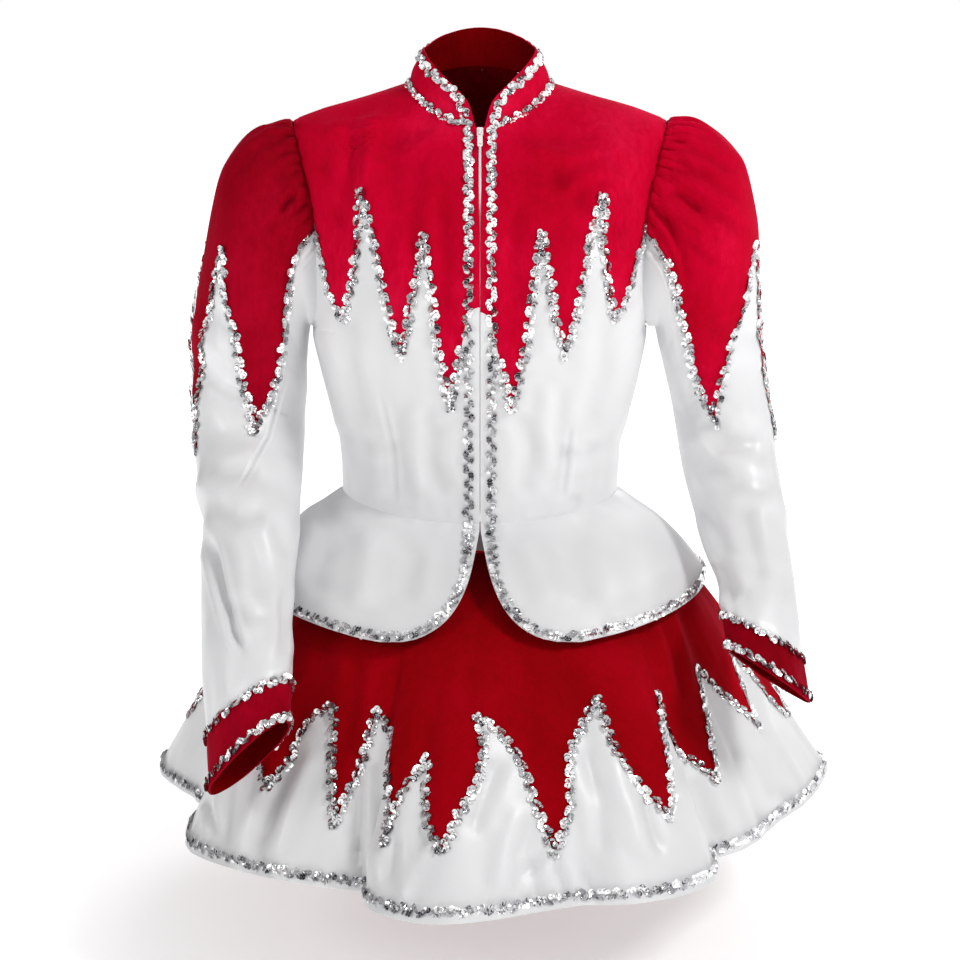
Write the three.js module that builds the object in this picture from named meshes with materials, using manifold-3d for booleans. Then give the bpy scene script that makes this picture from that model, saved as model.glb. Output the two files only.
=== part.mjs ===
// Majorette uniform: a zipped jacket with a stand collar, puffed sleeves and a flared peplum, over a
// flared skirt. Millimetres, +Z up, front toward -Y. "right" and "left" are the wearer's, so right is -X.
// The origin is between the two neck points of the shoulders, where the wearer's shoulders carry it.
import * as THREE from "three";

// ---- named sizes -------------------------------------------------------------------------------
const CLOTH = 2.0; // wall of velvet or satin with its seam allowance, mm
const SEAM = 0.3; // gap left at every seam, mm
const ZIP_GAP = 2.4; // half of the opening at the centre front, mm
const V_PIT = 0.55; // height parameter of the armpit
const V_TIP = 0.935; // height parameter of the shoulder tip
const ARM_FRONT = 22; // degrees that the armhole cuts into the front
const ARM_BACK = 26; // degrees that it cuts into the back
const ARM_POWER = 3.2; // squareness of the armhole
const SLEEVE_BLEND = 70; // mm over which a sleeve turns from armhole to tube
const FLARE_START = 0.12; // share of the skirt's length that hangs without flutes
const HEM_MEAN = 352; // mean radius of the skirt's hem, mm
const SATIN = { color: 0xf4f4f6, roughness: 0.42, metalness: 0 };
const VELVET = { color: 0xb00020, roughness: 0.85, metalness: 0 };
const METAL = { color: 0xf0f0ee, roughness: 0.35, metalness: 0.4 };
const TAPE = { color: 0xece9ea, roughness: 0.8, metalness: 0 };

// jacket body rings, waist seam up to neck seam
// v: height parameter; zS, zF, zB: level at side, front and back; w: half width; dF, dB: depth to front and back; n: squareness
const TORSO_COLS = ["v", "zS", "w", "dF", "dB", "zF", "zB", "n"];
const TORSO = [
  [0.0, -408, 143, 93, 85, -428, -404, 2.15],
  [0.12, -371, 144.5, 98, 89, -386, -369, 2.15],
  [0.25, -332, 152, 106, 95, -343, -330, 2.2],
  [0.4, -286, 163, 114, 102, -294, -284, 2.25],
  [0.55, -238, 172, 120, 106, -243, -234, 2.3],
  [0.68, -180, 174, 119, 106, -187, -172, 2.3],
  [0.8, -118, 177, 110, 103, -136, -104, 2.3],
  [0.89, -66, 186, 96, 92, -100, -50, 2.25],
  [0.935, -34, 189, 84, 82, -80, -20, 2.15],
  [0.955, -22, 165, 78, 76, -69, -6, 2.1],
  [0.98, -8, 115, 70, 68, -53, 10, 2.0],
  [1.0, 4, 72, 62, 58, -38, 24, 2.0],
];
// rings of the other bands: s from top to hem (collar: from seam to rim)
const RING_COLS = ["s", "zS", "zF", "zB", "w", "dF", "dB"];
const COLLAR = [
  [0, 4, -38, 24, 72, 62, 58],
  [0.35, 17, -26, 38, 68.5, 61, 56],
  [0.7, 29, -13, 51, 62, 59, 53],
  [1, 39.5, -3, 62, 57, 57, 50],
];
const PEPLUM = [
  [0, -408.6, -428.6, -404.6, 143, 93, 85],
  [0.15, -421, -441, -417, 163, 113, 106],
  [0.35, -437, -457, -434, 186, 140, 132],
  [0.6, -459, -479, -458, 209, 174, 164],
  [0.82, -480, -503, -482, 226, 200, 188],
  [1, -497, -524, -502, 237, 220, 206],
];
const WAISTBAND = [
  [0, -420, -434, -416, 138, 88, 80],
  [1, -440, -457, -435, 138, 88, 80],
];
const SKIRT = [
  [0, -440.5, -458, -436, 138, 88, 80],
  [0.08, -452, -470, -450, 158, 112, 104],
  [0.2, -474, -490, -472, 192, 150, 142],
  [0.32, -496, -508, -494, 216, 180, 174],
  [0.46, -528, -534, -526, 240, 214, 208],
  [0.6, -566, -568, -566, 262, 246, 240],
  [0.8, -638, -638, -638, 302, 300, 296],
  [1, -725, -725, -725, 352, 352, 350],
];
// flutes of the skirt: cloth angle at the waist, angle and radius at the hem (degrees, mm)
const FLUTES = [
  [-180, -180, 352], [-160, -160, 372], [-142, -142, 342], [-122, -124, 366], [-108, -106, 352], [-95, -97, 352],
  [-80, -83, 318], [-70, -73, 298], [-60, -60, 335], [-50, -51, 354], [-38, -38, 347], [-28, -24, 336],
  [-21, -16, 330], [-17, -17.5, 350], [-13, -15, 372], [-6, -6, 392], [1, 1, 381], [8, 9, 364],
  [14, 15, 360], [21, 22, 371], [27, 29, 373], [32, 36, 364], [37, 40, 344], [44, 43, 325],
  [52, 52, 331], [62, 64, 330], [74, 77, 346], [84, 86, 362], [94, 97, 378], [108, 110, 362],
  [124, 124, 342], [142, 142, 368], [162, 162, 345], [180, 180, 352],
];
// sleeves, a row for each ring: outer point x, z; inner point x, z; y of the ring; half depth
const SLEEVES = {
  right: [
    [-189, -34, -172, -238, 0, 50], [-214, -35, -177, -236, 0, 60], [-259, -74, -178, -267, 2, 72],
    [-273, -117, -179, -283, 4, 74], [-282, -160, -179, -298, 6, 72], [-297, -265, -182, -338, 4, 64],
    [-292, -354, -182, -381, -26, 56], [-285, -396, -182, -408, -66, 53], [-274, -435, -181, -437, -112, 50],
    [-265, -515, -180, -503, -194, 46], [-260, -559, -176, -525, -230, 45], [-256, -594, -175, -540, -252, 44],
    [-251, -643, -175, -575, -284, 43],
  ],
  left: [
    [189, -34, 172, -238, 0, 50], [212, -32, 181, -239, 0, 60], [262, -65, 186, -265, 4, 72],
    [275, -98, 190, -278, 10, 74], [284, -139, 194, -293, 18, 72], [293, -253, 204, -334, 36, 62],
    [307, -353, 213, -393, 16, 53], [310, -398, 220, -424, -14, 50], [312, -442, 226, -453, -56, 46],
    [314, -509, 235, -488, -132, 41], [315, -544, 234, -500, -160, 40], [317, -583, 237, -530, -194, 39],
  ],
};
const CUFF_AT = { right: 567, left: 509 }; // mm along the sleeve to the cuff seam
const SPLIT_AT = { right: [302, 432], left: [294, 400] }; // mm along the sleeve where its satin part is split in three solids
const LIFT = { right: 0.85, left: 0.5 }; // how far the rings tilt with the bent forearm
// flame edges of the fronts: angle from the centre front (degrees) and height parameter
const FLAME_FRONT = {
  right: [[0, 0.63], [2.6, 0.62], [5.6, 0.47], [8.7, 0.355], [11.4, 0.54], [14.8, 0.785], [19.4, 0.6], [23.7, 0.511],
    [30, 0.66], [36.2, 0.872], [42, 0.7], [48.8, 0.584], [58, 0.66], [67.5, 0.776]],
  left: [[0, 0.62], [2.1, 0.607], [5.6, 0.46], [9.1, 0.343], [12.4, 0.54], [16.4, 0.789], [21, 0.6], [26, 0.507],
    [31.6, 0.66], [37.8, 0.858], [42, 0.7], [47.1, 0.589], [57, 0.66], [67.5, 0.776]],
};
// flame edge of the back, one half, from the centre back outward
const FLAME_BACK = [[0, 0.66], [4.5, 0.5], [9, 0.35], [12.5, 0.56], [16, 0.79], [20.5, 0.6], [25, 0.51], [31, 0.66],
  [37, 0.865], [42, 0.7], [48, 0.585], [56, 0.66], [63.5, 0.776]];
// flame edges of the sleeves: angle round the sleeve (0 outer, 90 front) and mm along it
const FLAME_SLEEVE = {
  right: [[84, 0.5], [82, 60], [80.5, 130], [79, 200], [77.5, 260], [73, 244], [62, 199], [54, 159], [46, 137], [40, 120],
    [34, 94], [32, 135], [29.5, 200], [26, 245], [21, 286], [12, 220], [0, 150], [-13, 96], [-24, 165], [-38, 225],
    [-50, 262], [-62, 190], [-76, 90], [-84, 0.5]],
  left: [[84, 0.5], [82, 60], [80.5, 125], [79, 185], [77, 236], [72, 222], [62, 197], [52, 164], [43, 147], [33, 124],
    [24, 110], [22, 140], [20, 190], [18, 240], [14, 280], [6, 220], [-4, 150], [-14, 96], [-24, 165], [-38, 225],
    [-50, 262], [-62, 190], [-76, 90], [-84, 0.5]],
};
// flame edge of the skirt's front: cloth angle and share of the length
const FLAME_SKIRT = [[-90, 0.86], [-84, 0.72], [-78, 0.6], [-72, 0.72], [-66, 0.84], [-58, 0.78], [-47.4, 0.7], [-40.4, 0.837],
  [-36.5, 0.7], [-32.6, 0.637], [-30.8, 0.77], [-28.9, 0.888], [-27.2, 0.78], [-25, 0.642], [-20, 0.74], [-16, 0.83],
  [-13.2, 0.889], [-11, 0.78], [-8.8, 0.715], [-7.4, 0.82], [-5.7, 0.885], [-3.2, 0.82], [-0.6, 0.627], [3.6, 0.665],
  [7, 0.745], [10.6, 0.905], [14.3, 0.82], [17, 0.72], [21, 0.66], [24.4, 0.606], [26, 0.75], [29.5, 0.868], [34, 0.75],
  [40.3, 0.64], [44, 0.78], [49.6, 0.86], [53, 0.76], [57.3, 0.596], [64.5, 0.703], [70.5, 0.81], [74, 0.7], [76.9, 0.6],
  [82, 0.73], [90, 0.86]];
// the back half: tips and valleys by turn, as uneven as the front
const FLAME_SKIRT_BACK = [[90, 0.86], [97, 0.72], [103, 0.62], [108, 0.74], [114, 0.88], [121, 0.74], [127, 0.64],
  [133, 0.76], [139, 0.86], [145, 0.72], [150, 0.61], [157, 0.76], [163, 0.89], [170, 0.74], [176, 0.65], [183, 0.77],
  [189, 0.87], [196, 0.73], [202, 0.6], [208, 0.75], [214, 0.88], [221, 0.74], [227, 0.63], [234, 0.76], [241, 0.87],
  [248, 0.72], [254, 0.62], [262, 0.74], [270, 0.86]];
// front edge of the peplum: share of the length and angle from the centre front
const PEPLUM_EDGE = [[0, 1.6], [0.15, 1.5], [0.3, 1.9], [0.45, 2.7], [0.6, 4.2], [0.72, 6.2], [0.82, 9], [0.9, 12.6], [0.96, 17], [1, 24]];
// front edge of the collar: share of the height and angle from the centre front
const COLLAR_EDGE = [[0, 3.6], [0.3, 6], [0.55, 9], [0.75, 14.5], [0.9, 24], [1, 40]];
const SLIDER_AT = 0.993; // height parameter of the zip slider
const PULL = { width: 5, length: 17, thick: 1, arm: 0.8, hole: 1.1 };

// ---- small mathematics ---------------------------------------------------------------------------
const rad = (d) => (d * Math.PI) / 180;
const smooth = (x) => { const t = Math.min(1, Math.max(0, x)); return t * t * (3 - 2 * t); };
const lerp = (a, b, t) => a + (b - a) * t;
// monotone cubic through the column i of a table whose first column grows
function pchip(rows, i, x) {
  const n = rows.length, X = (k) => rows[k][0], Y = (k) => rows[k][i];
  let k = 0;
  while (k < n - 2 && x >= X(k + 1)) k++;
  const d = (j) => (Y(j + 1) - Y(j)) / (X(j + 1) - X(j));
  const m = (j) => {
    if (j === 0) return d(0);
    if (j === n - 1) return d(n - 2);
    const a = d(j - 1), b = d(j);
    if (a * b <= 0) return 0;
    const h0 = X(j) - X(j - 1), h1 = X(j + 1) - X(j), w1 = 2 * h1 + h0, w2 = h1 + 2 * h0;
    return (w1 + w2) / (w1 / a + w2 / b);
  };
  const h = X(k + 1) - X(k), t = Math.min(1, Math.max(0, (x - X(k)) / h));
  return (2 * t ** 3 - 3 * t * t + 1) * Y(k) + (t ** 3 - 2 * t * t + t) * h * m(k) + (3 * t * t - 2 * t ** 3) * Y(k + 1) + (t ** 3 - t * t) * h * m(k + 1);
}
function linear(rows, x) {
  let k = 0;
  while (k < rows.length - 2 && x > rows[k + 1][0]) k++;
  const t = (x - rows[k][0]) / (rows[k + 1][0] - rows[k][0]);
  return lerp(rows[k][1], rows[k + 1][1], Math.min(1, Math.max(0, t)));
}
const V = (x, y, z) => new THREE.Vector3(x, y, z);

// ---- surfaces of the garment -----------------------------------------------------------------------
function torso(theta, v) {
  const [zS, w, dF, dB, zF, zB, n] = [1, 2, 3, 4, 5, 6, 7].map((i) => pchip(TORSO, i, v));
  const s = Math.sin(theta), c = Math.cos(theta), e = 2 / n, front = c >= 0, k = Math.abs(c) ** 1.7;
  return V(w * Math.sign(s) * Math.abs(s) ** e, -(front ? dF : dB) * Math.sign(c) * Math.abs(c) ** e, zS + ((front ? zF : zB) - zS) * k);
}
function ring(rows, theta, s) {
  const [zS, zF, zB, w, dF, dB] = [1, 2, 3, 4, 5, 6].map((i) => pchip(rows, i, s));
  const c = Math.cos(theta), front = c >= 0, k = Math.abs(c) ** 1.7;
  return V(w * Math.sin(theta), -(front ? dF : dB) * c, zS + ((front ? zF : zB) - zS) * k);
}
function thetaOut(v, back) {
  const t = Math.min(1, Math.max(0, (v - V_PIT) / (V_TIP - V_PIT)));
  const arch = Math.max(0, 1 - Math.abs(2 * t - 1) ** ARM_POWER) ** (1 / ARM_POWER);
  return rad(90 - (back ? ARM_BACK : ARM_FRONT) * arch);
}
// jacket panels in (a, v): a from the centre line (0) to armhole or side seam (1)
const seamAngle = 0.002;
// the grid keeps its angle over the inner panel and stretches only toward the armhole or side seam
function spread(a, v, back) {
  const inner = 90 - (back ? ARM_BACK : ARM_FRONT);
  return rad(inner) * a + (thetaOut(v, back) - seamAngle - rad(inner)) * smooth((a - 0.6) / 0.4);
}
function frontPoint(side) {
  return (a, v) => {
    const n = pchip(TORSO, 7, v), w = pchip(TORSO, 2, v), t0 = Math.asin((ZIP_GAP / w) ** (n / 2));
    return torso(side * (t0 * (1 - a) + spread(a, v, false)), v);
  };
}
const backPoint = (a, v) => torso(Math.PI - Math.sign(a) * spread(Math.abs(a), v, true), v); // a from -1 to 1
// armhole as a polygon whose corners the body panels share
const ARM_KNOTS = [0, 16, 32, 48, 64, 80, 105, 130, 155, 180];
const vOfBeta = (deg) => V_PIT + ((V_TIP - V_PIT) * (1 + Math.cos(rad(deg)))) / 2;
function armCorner(deg, side) {
  const back = deg < 0, v = vOfBeta(Math.abs(deg)), t = thetaOut(v, back);
  return torso(side * (back ? Math.PI - t : t), v);
}
function armhole(beta, side) {
  let d = (beta * 180) / Math.PI;
  d = ((((d + 180) % 360) + 360) % 360) - 180;
  const m = Math.abs(d), s = d < 0 ? -1 : 1;
  let k = 0;
  while (k < ARM_KNOTS.length - 2 && m > ARM_KNOTS[k + 1]) k++;
  const t = (m - ARM_KNOTS[k]) / (ARM_KNOTS[k + 1] - ARM_KNOTS[k]);
  return armCorner(s * ARM_KNOTS[k], side).lerp(armCorner(s * ARM_KNOTS[k + 1], side), t);
}
function sleeveRows(name) {
  let at = 0;
  return SLEEVES[name].map((r, i, all) => {
    if (i) {
      const p = all[i - 1];
      at += Math.hypot((r[0] + r[2] - p[0] - p[2]) / 2, r[4] - p[4], (r[1] + r[3] - p[1] - p[3]) / 2);
    }
    return [at, ...r];
  });
}
const WARP = [[0, 0], [13, 0.24], [27, 0.52], [48, 0.86], [75, 1], [110, 1], [156, 0.92], [219, 0.72], [260, 0.52], [400, 0.15], [540, 0]];
const WARP_DEG = 46; // how far the front of the sleeve head leans round toward the armpit
function sleeve(name) {
  const rows = sleeveRows(name), side = name === "right" ? -1 : 1, end = rows[rows.length - 1][0], r0 = rows[0];
  const centre = (s) => V((pchip(rows, 1, s) + pchip(rows, 3, s)) / 2, pchip(rows, 5, s), (pchip(rows, 2, s) + pchip(rows, 4, s)) / 2);
  const f = (b, s) => {
    let d = (b * 180) / Math.PI;
    d = ((((d + 180) % 360) + 360) % 360) - 180;
    const m = Math.abs(d), lean = WARP_DEG * (m < 80 ? smooth(m / 80) : smooth((180 - m) / 100)) * Math.max(0, pchip(WARP, 1, s));
    const beta = rad(Math.sign(d) * (m + lean));
    const axis = centre(Math.min(s + 6, end)).sub(centre(Math.max(s - 6, 0))).normalize();
    const forward = V(0, -1, 0), lift = LIFT[name] * Math.min(1, Math.max(0, (s - 60) / 80));
    forward.addScaledVector(axis, -axis.dot(V(0, -1, 0)) * lift).normalize();
    const out = V((pchip(rows, 1, s) - pchip(rows, 3, s)) / 2, 0, (pchip(rows, 2, s) - pchip(rows, 4, s)) / 2);
    const p = centre(s).addScaledVector(out, Math.cos(beta)).addScaledVector(forward, pchip(rows, 6, s) * Math.sin(beta));
    const k = smooth(1 - s / SLEEVE_BLEND);
    if (k > 0) {
      const e = V((r0[1] + r0[3]) / 2, r0[5], (r0[2] + r0[4]) / 2)
        .addScaledVector(V((r0[1] - r0[3]) / 2, 0, (r0[2] - r0[4]) / 2), Math.cos(beta))
        .addScaledVector(V(0, -1, 0), r0[6] * Math.sin(beta));
      p.addScaledVector(armhole(beta, side).sub(e), k);
    }
    return p;
  };
  return { f, end };
}
function skirtPoint(u, s) {
  let d = (u * 180) / Math.PI;
  d = ((((d + 180) % 360) + 360) % 360) - 180;
  const g = Math.min(1, Math.max(0, (s - FLARE_START) / (1 - FLARE_START))) ** 1.25;
  const a = rad(d + (pchip(FLUTES, 1, d) - d) * g), p = ring(SKIRT, a, s), f = 1 + (pchip(FLUTES, 2, d) / HEM_MEAN - 1) * g;
  return V(p.x * f, p.y * f, p.z);
}

// ---- solids ------------------------------------------------------------------------------------------
const root = new THREE.Group();
function addMesh(name, geometry, look) {
  const mesh = new THREE.Mesh(geometry, new THREE.MeshStandardMaterial(look));
  mesh.name = name;
  root.add(mesh);
  return mesh;
}
function normalAt(f, u, v, du, dv) {
  const a = f(u + du, v).sub(f(u - du, v)), b = f(u, v + dv).sub(f(u, v - dv));
  return a.cross(b).normalize();
}
// A wall of cloth: grid[j][i] holds [u, v] pairs, f gives the outer surface, outward picks the normal's sign.
function wall(f, grid, { thick = CLOTH, closed = false, flip = false, du = 0.004, dv = 0.004, lo = 0, hi = 1, inset = 0 } = {}) {
  const nj = grid.length, ni = grid[0].length, pos = [], idx = [];
  const layers = [inset, inset + thick].map((depth) => grid.map((row) => row.map(([u, v]) => {
    const vv = Math.min(hi - dv, Math.max(lo + dv, v)), n = normalAt(f, u, vv, du, dv);
    const p = f(u, v).addScaledVector(n, (flip ? 1 : -1) * depth);
    pos.push(p.x, p.y, p.z);
    return pos.length / 3 - 1;
  })));
  const quad = (a, b, c, d) => idx.push(a, b, c, a, c, d);
  const [o, q] = layers, last = closed ? ni : ni - 1, at = (i) => i % ni;
  for (let j = 0; j < nj - 1; j++)
    for (let i = 0; i < last; i++) {
      quad(o[j][i], o[j][at(i + 1)], o[j + 1][at(i + 1)], o[j + 1][i]);
      quad(q[j][i], q[j + 1][i], q[j + 1][at(i + 1)], q[j][at(i + 1)]);
    }
  for (let i = 0; i < last; i++) {
    quad(o[0][at(i + 1)], o[0][i], q[0][i], q[0][at(i + 1)]);
    quad(o[nj - 1][at(i + 1)], q[nj - 1][at(i + 1)], q[nj - 1][i], o[nj - 1][i]);
  }
  if (!closed)
    for (let j = 0; j < nj - 1; j++) {
      quad(o[j][0], o[j + 1][0], q[j + 1][0], q[j][0]);
      quad(o[j + 1][ni - 1], o[j][ni - 1], q[j][ni - 1], q[j + 1][ni - 1]);
    }
  let vol = 0;
  const P = (k) => V(pos[3 * k], pos[3 * k + 1], pos[3 * k + 2]);
  for (let k = 0; k < idx.length; k += 3) vol += P(idx[k]).dot(P(idx[k + 1]).cross(P(idx[k + 2])));
  if (vol < 0) for (let k = 0; k < idx.length; k += 3) [idx[k + 1], idx[k + 2]] = [idx[k + 2], idx[k + 1]];
  const g = new THREE.BufferGeometry();
  g.setAttribute("position", new THREE.Float32BufferAttribute(pos, 3));
  g.setIndex(idx);
  g.computeVertexNormals();
  return g;
}
// moves an edge line sideways by d mm; ku, kv are mm for each unit of the two parameters
function shift(line, d, ku, kv) {
  return line.map(([u, v], i) => {
    const a = line[Math.max(0, i - 1)], b = line[Math.min(line.length - 1, i + 1)];
    const side = (p, q) => { const x = (q[0] - p[0]) * ku, y = (q[1] - p[1]) * kv, l = Math.hypot(x, y) || 1; return [-y / l, x / l]; };
    const m = i ? side(a, [u, v]) : side([u, v], b), n = i < line.length - 1 ? side([u, v], b) : m;
    let x = m[0] + n[0], y = m[1] + n[1];
    const l = Math.hypot(x, y) || 1;
    x /= l; y /= l;
    const c = Math.max(0.3, x * m[0] + y * m[1]);
    return [u + (d * x) / c / ku, v + (d * y) / c / kv];
  });
}
const range = (n, f) => Array.from({ length: n + 1 }, (_, i) => f(i / n, i));

// jacket fronts
const YOKE_ROWS = ARM_KNOTS.slice(0, 6).reverse().map((b) => (vOfBeta(b) - vOfBeta(80)) / (V_TIP - vOfBeta(80)));
const YOKE_TOP = [0.965, 0.9995];
const BODY_ROWS = [0.0005, 0.18, 0.37, V_PIT, ...[155, 130, 105, 80].map(vOfBeta)].map((v) => v / vOfBeta(80));
function yokeGrid(edge) {
  return [
    ...YOKE_ROWS.map((f) => edge.map(([a, v]) => [a, lerp(v, V_TIP, f)])),
    ...YOKE_TOP.map((v) => edge.map(([a]) => [a, v])),
  ];
}
const bodyGrid = (edge) => BODY_ROWS.map((f) => edge.map(([a, v]) => [a, v * f]));
for (const name of ["right", "left"]) {
  const side = name === "right" ? -1 : 1, f = frontPoint(side), last = FLAME_FRONT[name].length - 1;
  const edge = FLAME_FRONT[name].map(([t, v], i) => [i === last ? 1 : t / (90 - ARM_FRONT), v]);
  const up = shift(edge, SEAM / 2 + 0.1, 200, 520).map(([a, v], i) => [i === 0 ? 0 : i === last ? 1 : Math.min(0.995, Math.max(0.004, a)), v]);
  const down = shift(edge, -SEAM / 2 - 0.1, 200, 520).map(([a, v], i) => [i === 0 ? 0 : i === last ? 1 : Math.min(0.995, Math.max(0.004, a)), v]);
  addMesh(`yoke_front_${name}`, wall(f, yokeGrid(up), { flip: side < 0, dv: 0.002 }), VELVET);
  addMesh(`body_front_${name}`, wall(f, bodyGrid(down), { flip: side < 0, dv: 0.002 }), SATIN);
}
// jacket back
{
  const half = FLAME_BACK.map(([t, v], i) => [i === FLAME_BACK.length - 1 ? 1 : t / (90 - ARM_BACK), v]);
  const edge = [...half.slice(1).reverse().map(([a, v]) => [-a, v]), ...half], last = edge.length - 1;
  const pin = ([a, v], i) => [i === 0 ? -1 : i === last ? 1 : a, v];
  addMesh("yoke_back", wall(backPoint, yokeGrid(shift(edge, SEAM / 2 + 0.1, 200, 520).map(pin)), { flip: true, dv: 0.002 }), VELVET);
  addMesh("body_back", wall(backPoint, bodyGrid(shift(edge, -SEAM / 2 - 0.1, 200, 520).map(pin)), { flip: true, dv: 0.002 }), SATIN);
}
// collar halves, joined at the centre back
for (const name of ["right", "left"]) {
  const side = name === "right" ? -1 : 1;
  const f = (a, h) => ring(COLLAR, side * lerp(rad(linear(COLLAR_EDGE, h)), Math.PI - 0.003, a), h).add(V(0, 0, SEAM + 0.2));
  addMesh(`collar_${name}`, wall(f, [0, 0.4, 0.75, 0.9, 1].map((h) => range(9, (a) => [a, h])), { flip: side < 0 }), VELVET);
}
// peplum
for (const name of ["right", "left"]) {
  const side = name === "right" ? -1 : 1;
  const f = (a, s) => ring(PEPLUM, side * lerp(rad(linear(PEPLUM_EDGE, s)), Math.PI / 2 - 0.001, a), s);
  addMesh(`peplum_front_${name}`, wall(f, [0, 0.3, 0.6, 0.82, 0.94, 1].map((s) => range(8, (a) => [a, s])), { flip: side > 0 }), SATIN);
}
addMesh("peplum_back", wall((a, s) => ring(PEPLUM, a, s), [0, 0.2, 0.45, 0.7, 1].map((s) => range(20, (t) => [lerp(Math.PI / 2 + 0.001, 1.5 * Math.PI - 0.001, t), s])), { flip: true }), SATIN);

// sleeves
for (const name of ["right", "left"]) {
  const { f: g, end } = sleeve(name), side = name === "right" ? -1 : 1, f = (b, t) => g(rad(b), t * end);
  const kb = 1.1, ks = end; // mm for a degree and for a unit along the sleeve
  const line = FLAME_SLEEVE[name].map(([b, s]) => [b, s / end]), last = line.length - 1;
  const clip = (rows) => rows.map(([b, s], i) => [b, i === 0 || i === last ? 0.8 / end : Math.max(1.2 / end, s)]);
  const capEdge = clip(shift(line, SEAM / 2 + 0.15, kb, ks)), lowEdge = clip(shift(line, -SEAM / 2 - 0.15, kb, ks));
  const headTop = line.map((_, i) => [lerp(83.4, -83.4, i / last), 0.6 / end]);
  capEdge[0][0] = 83.6; capEdge[last][0] = -83.6; lowEdge[0][0] = 84.1; lowEdge[last][0] = -84.1;
  capEdge[0][1] = capEdge[last][1] = 3 / end;
  const cuffS = (CUFF_AT[name] - SEAM / 2) / end;
  // head: columns run from the armhole to the flame edge, keeping clear of the steep first flank
  const cap = [0, 0.13, 0.33, 0.56, 0.8, 1].map((t) => capEdge.map(([b, s], i) => [lerp(headTop[i][0], b, smooth(Math.min(1, t * 1.35)) ), lerp(headTop[i][1], s, t)]));
  addMesh(`sleeve_cap_${name}`, wall(f, cap, { flip: side < 0, du: 0.4, dv: 0.002 }), VELVET);
  // lower sleeve: all round; its inner part starts at the armhole
  const inner = [-105, -130, -155, -180, -205, -230, -255].map((b) => [b, (b < -150 && b > -210 ? 1 : 0.6) / end]);
  const top = [...lowEdge, ...inner];
  const [elbow, fore] = SPLIT_AT[name].map((at) => [-SEAM / 2, SEAM / 2].map((d) => (at + d) / end));
  const low = [0, 0.33, 0.66, 1].map((t) => top.map(([b, s]) => [b, lerp(s, elbow[0], t)]));
  addMesh(`sleeve_lower_${name}`, wall(f, low, { closed: true, flip: side < 0, du: 0.4, dv: 0.002 }), SATIN);
  for (const [part, from, to] of [["elbow", elbow[1], fore[0]], ["forearm", fore[1], cuffS]]) {
    addMesh(`sleeve_${part}_${name}`, wall(f, [0, 0.5, 1].map((t) => top.map(([b]) => [b, lerp(from, to, t)])), { closed: true, flip: side < 0, du: 0.4, dv: 0.002 }), SATIN);
  }
  const cuffTop = (CUFF_AT[name] + SEAM / 2) / end;
  addMesh(`cuff_${name}`, wall(f, [cuffTop, (cuffTop + 1) / 2, 1].map((t) => top.map(([b]) => [b, t])), { closed: true, flip: side < 0, du: 0.4, dv: 0.002 }), VELVET);
}

// skirt
addMesh("waistband", wall((a, s) => ring(WAISTBAND, a, s), [0, 1].map((s) => range(27, (_, i) => [(i * 2 * Math.PI) / 28, s])), { closed: true, flip: true, du: 0.02 }), SATIN);
for (const [name, table] of [["front", FLAME_SKIRT], ["back", FLAME_SKIRT_BACK]]) {
  const f = (d, s) => skirtPoint(rad(d), s), line = table.map(([d, s]) => [d, s]), last = line.length - 1;
  const pin = ([d, s], i) => [i === 0 ? line[0][0] + 0.05 : i === last ? line[last][0] - 0.05 : d, s];
  const low = shift(line, SEAM / 2 + 0.1, 5, 400).map(pin), high = shift(line, -SEAM / 2 - 0.1, 5, 400).map(pin);
  addMesh(`skirt_velvet_${name}`, wall(f, [0, 0.3, 0.62, 1].map((t) => high.map(([d, s]) => [d, lerp(0.0015, s, t)])), { flip: true, du: 0.15, dv: 0.002 }), VELVET);
  addMesh(`skirt_satin_${name}`, wall(f, [0, 0.35, 0.7, 1].map((t) => low.map(([d, s]) => [d, lerp(s, 1, t)])), { flip: true, du: 0.15, dv: 0.002 }), SATIN);
}

// zip: tapes behind the front edges, the closed chain between them, slider and hinged pull at the top
const ZIP_V = [0.004, 0.12, 0.25, 0.4, 0.55, 0.68, 0.8, 0.89, 0.935, 0.965, 0.99];
const zipLine = (x, v) => { const p = torso(0, v); return V(x, p.y, p.z); };
addMesh("zip_chain", wall(zipLine, ZIP_V.map((v) => [[-1.5, v], [1.5, v]]), { thick: 2, inset: 0.5, du: 0.5, dv: 0.002 }), METAL);
for (const name of ["right", "left"]) {
  const side = name === "right" ? -1 : 1;
  const f = (x, v) => { const n = pchip(TORSO, 7, v), w = pchip(TORSO, 2, v); return torso(side * Math.asin((x / w) ** (n / 2)), v); };
  addMesh(`zip_tape_${name}`, wall(f, ZIP_V.map((v) => [[1.9, v], [5.5, v], [10, v]]), { thick: 0.7, inset: CLOTH + 1.2, du: 0.3, dv: 0.002, flip: side < 0 }), TAPE);
}
const up = torso(0, SLIDER_AT + 0.004).sub(torso(0, SLIDER_AT - 0.004)).normalize();
const out = V(1, 0, 0).cross(up).normalize(); // away from the chest
const frame = new THREE.Matrix4().makeBasis(V(1, 0, 0), up, out).setPosition(torso(0, SLIDER_AT));
function plate(outline, depth, hole) {
  const shape = new THREE.Shape(outline.map(([x, y]) => new THREE.Vector2(x, y)));
  if (hole) shape.holes.push(new THREE.Path(hole.map(([x, y]) => new THREE.Vector2(x, y))));
  return new THREE.ExtrudeGeometry(shape, { depth, bevelEnabled: false });
}
function place(name, geometry, look, x, y, z, turn) {
  const m = new THREE.Matrix4().multiplyMatrices(frame, new THREE.Matrix4().makeTranslation(x, y, z));
  if (turn) m.multiply(turn);
  const mesh = addMesh(name, geometry, look);
  m.decompose(mesh.position, mesh.quaternion, mesh.scale);
  return mesh;
}
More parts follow.
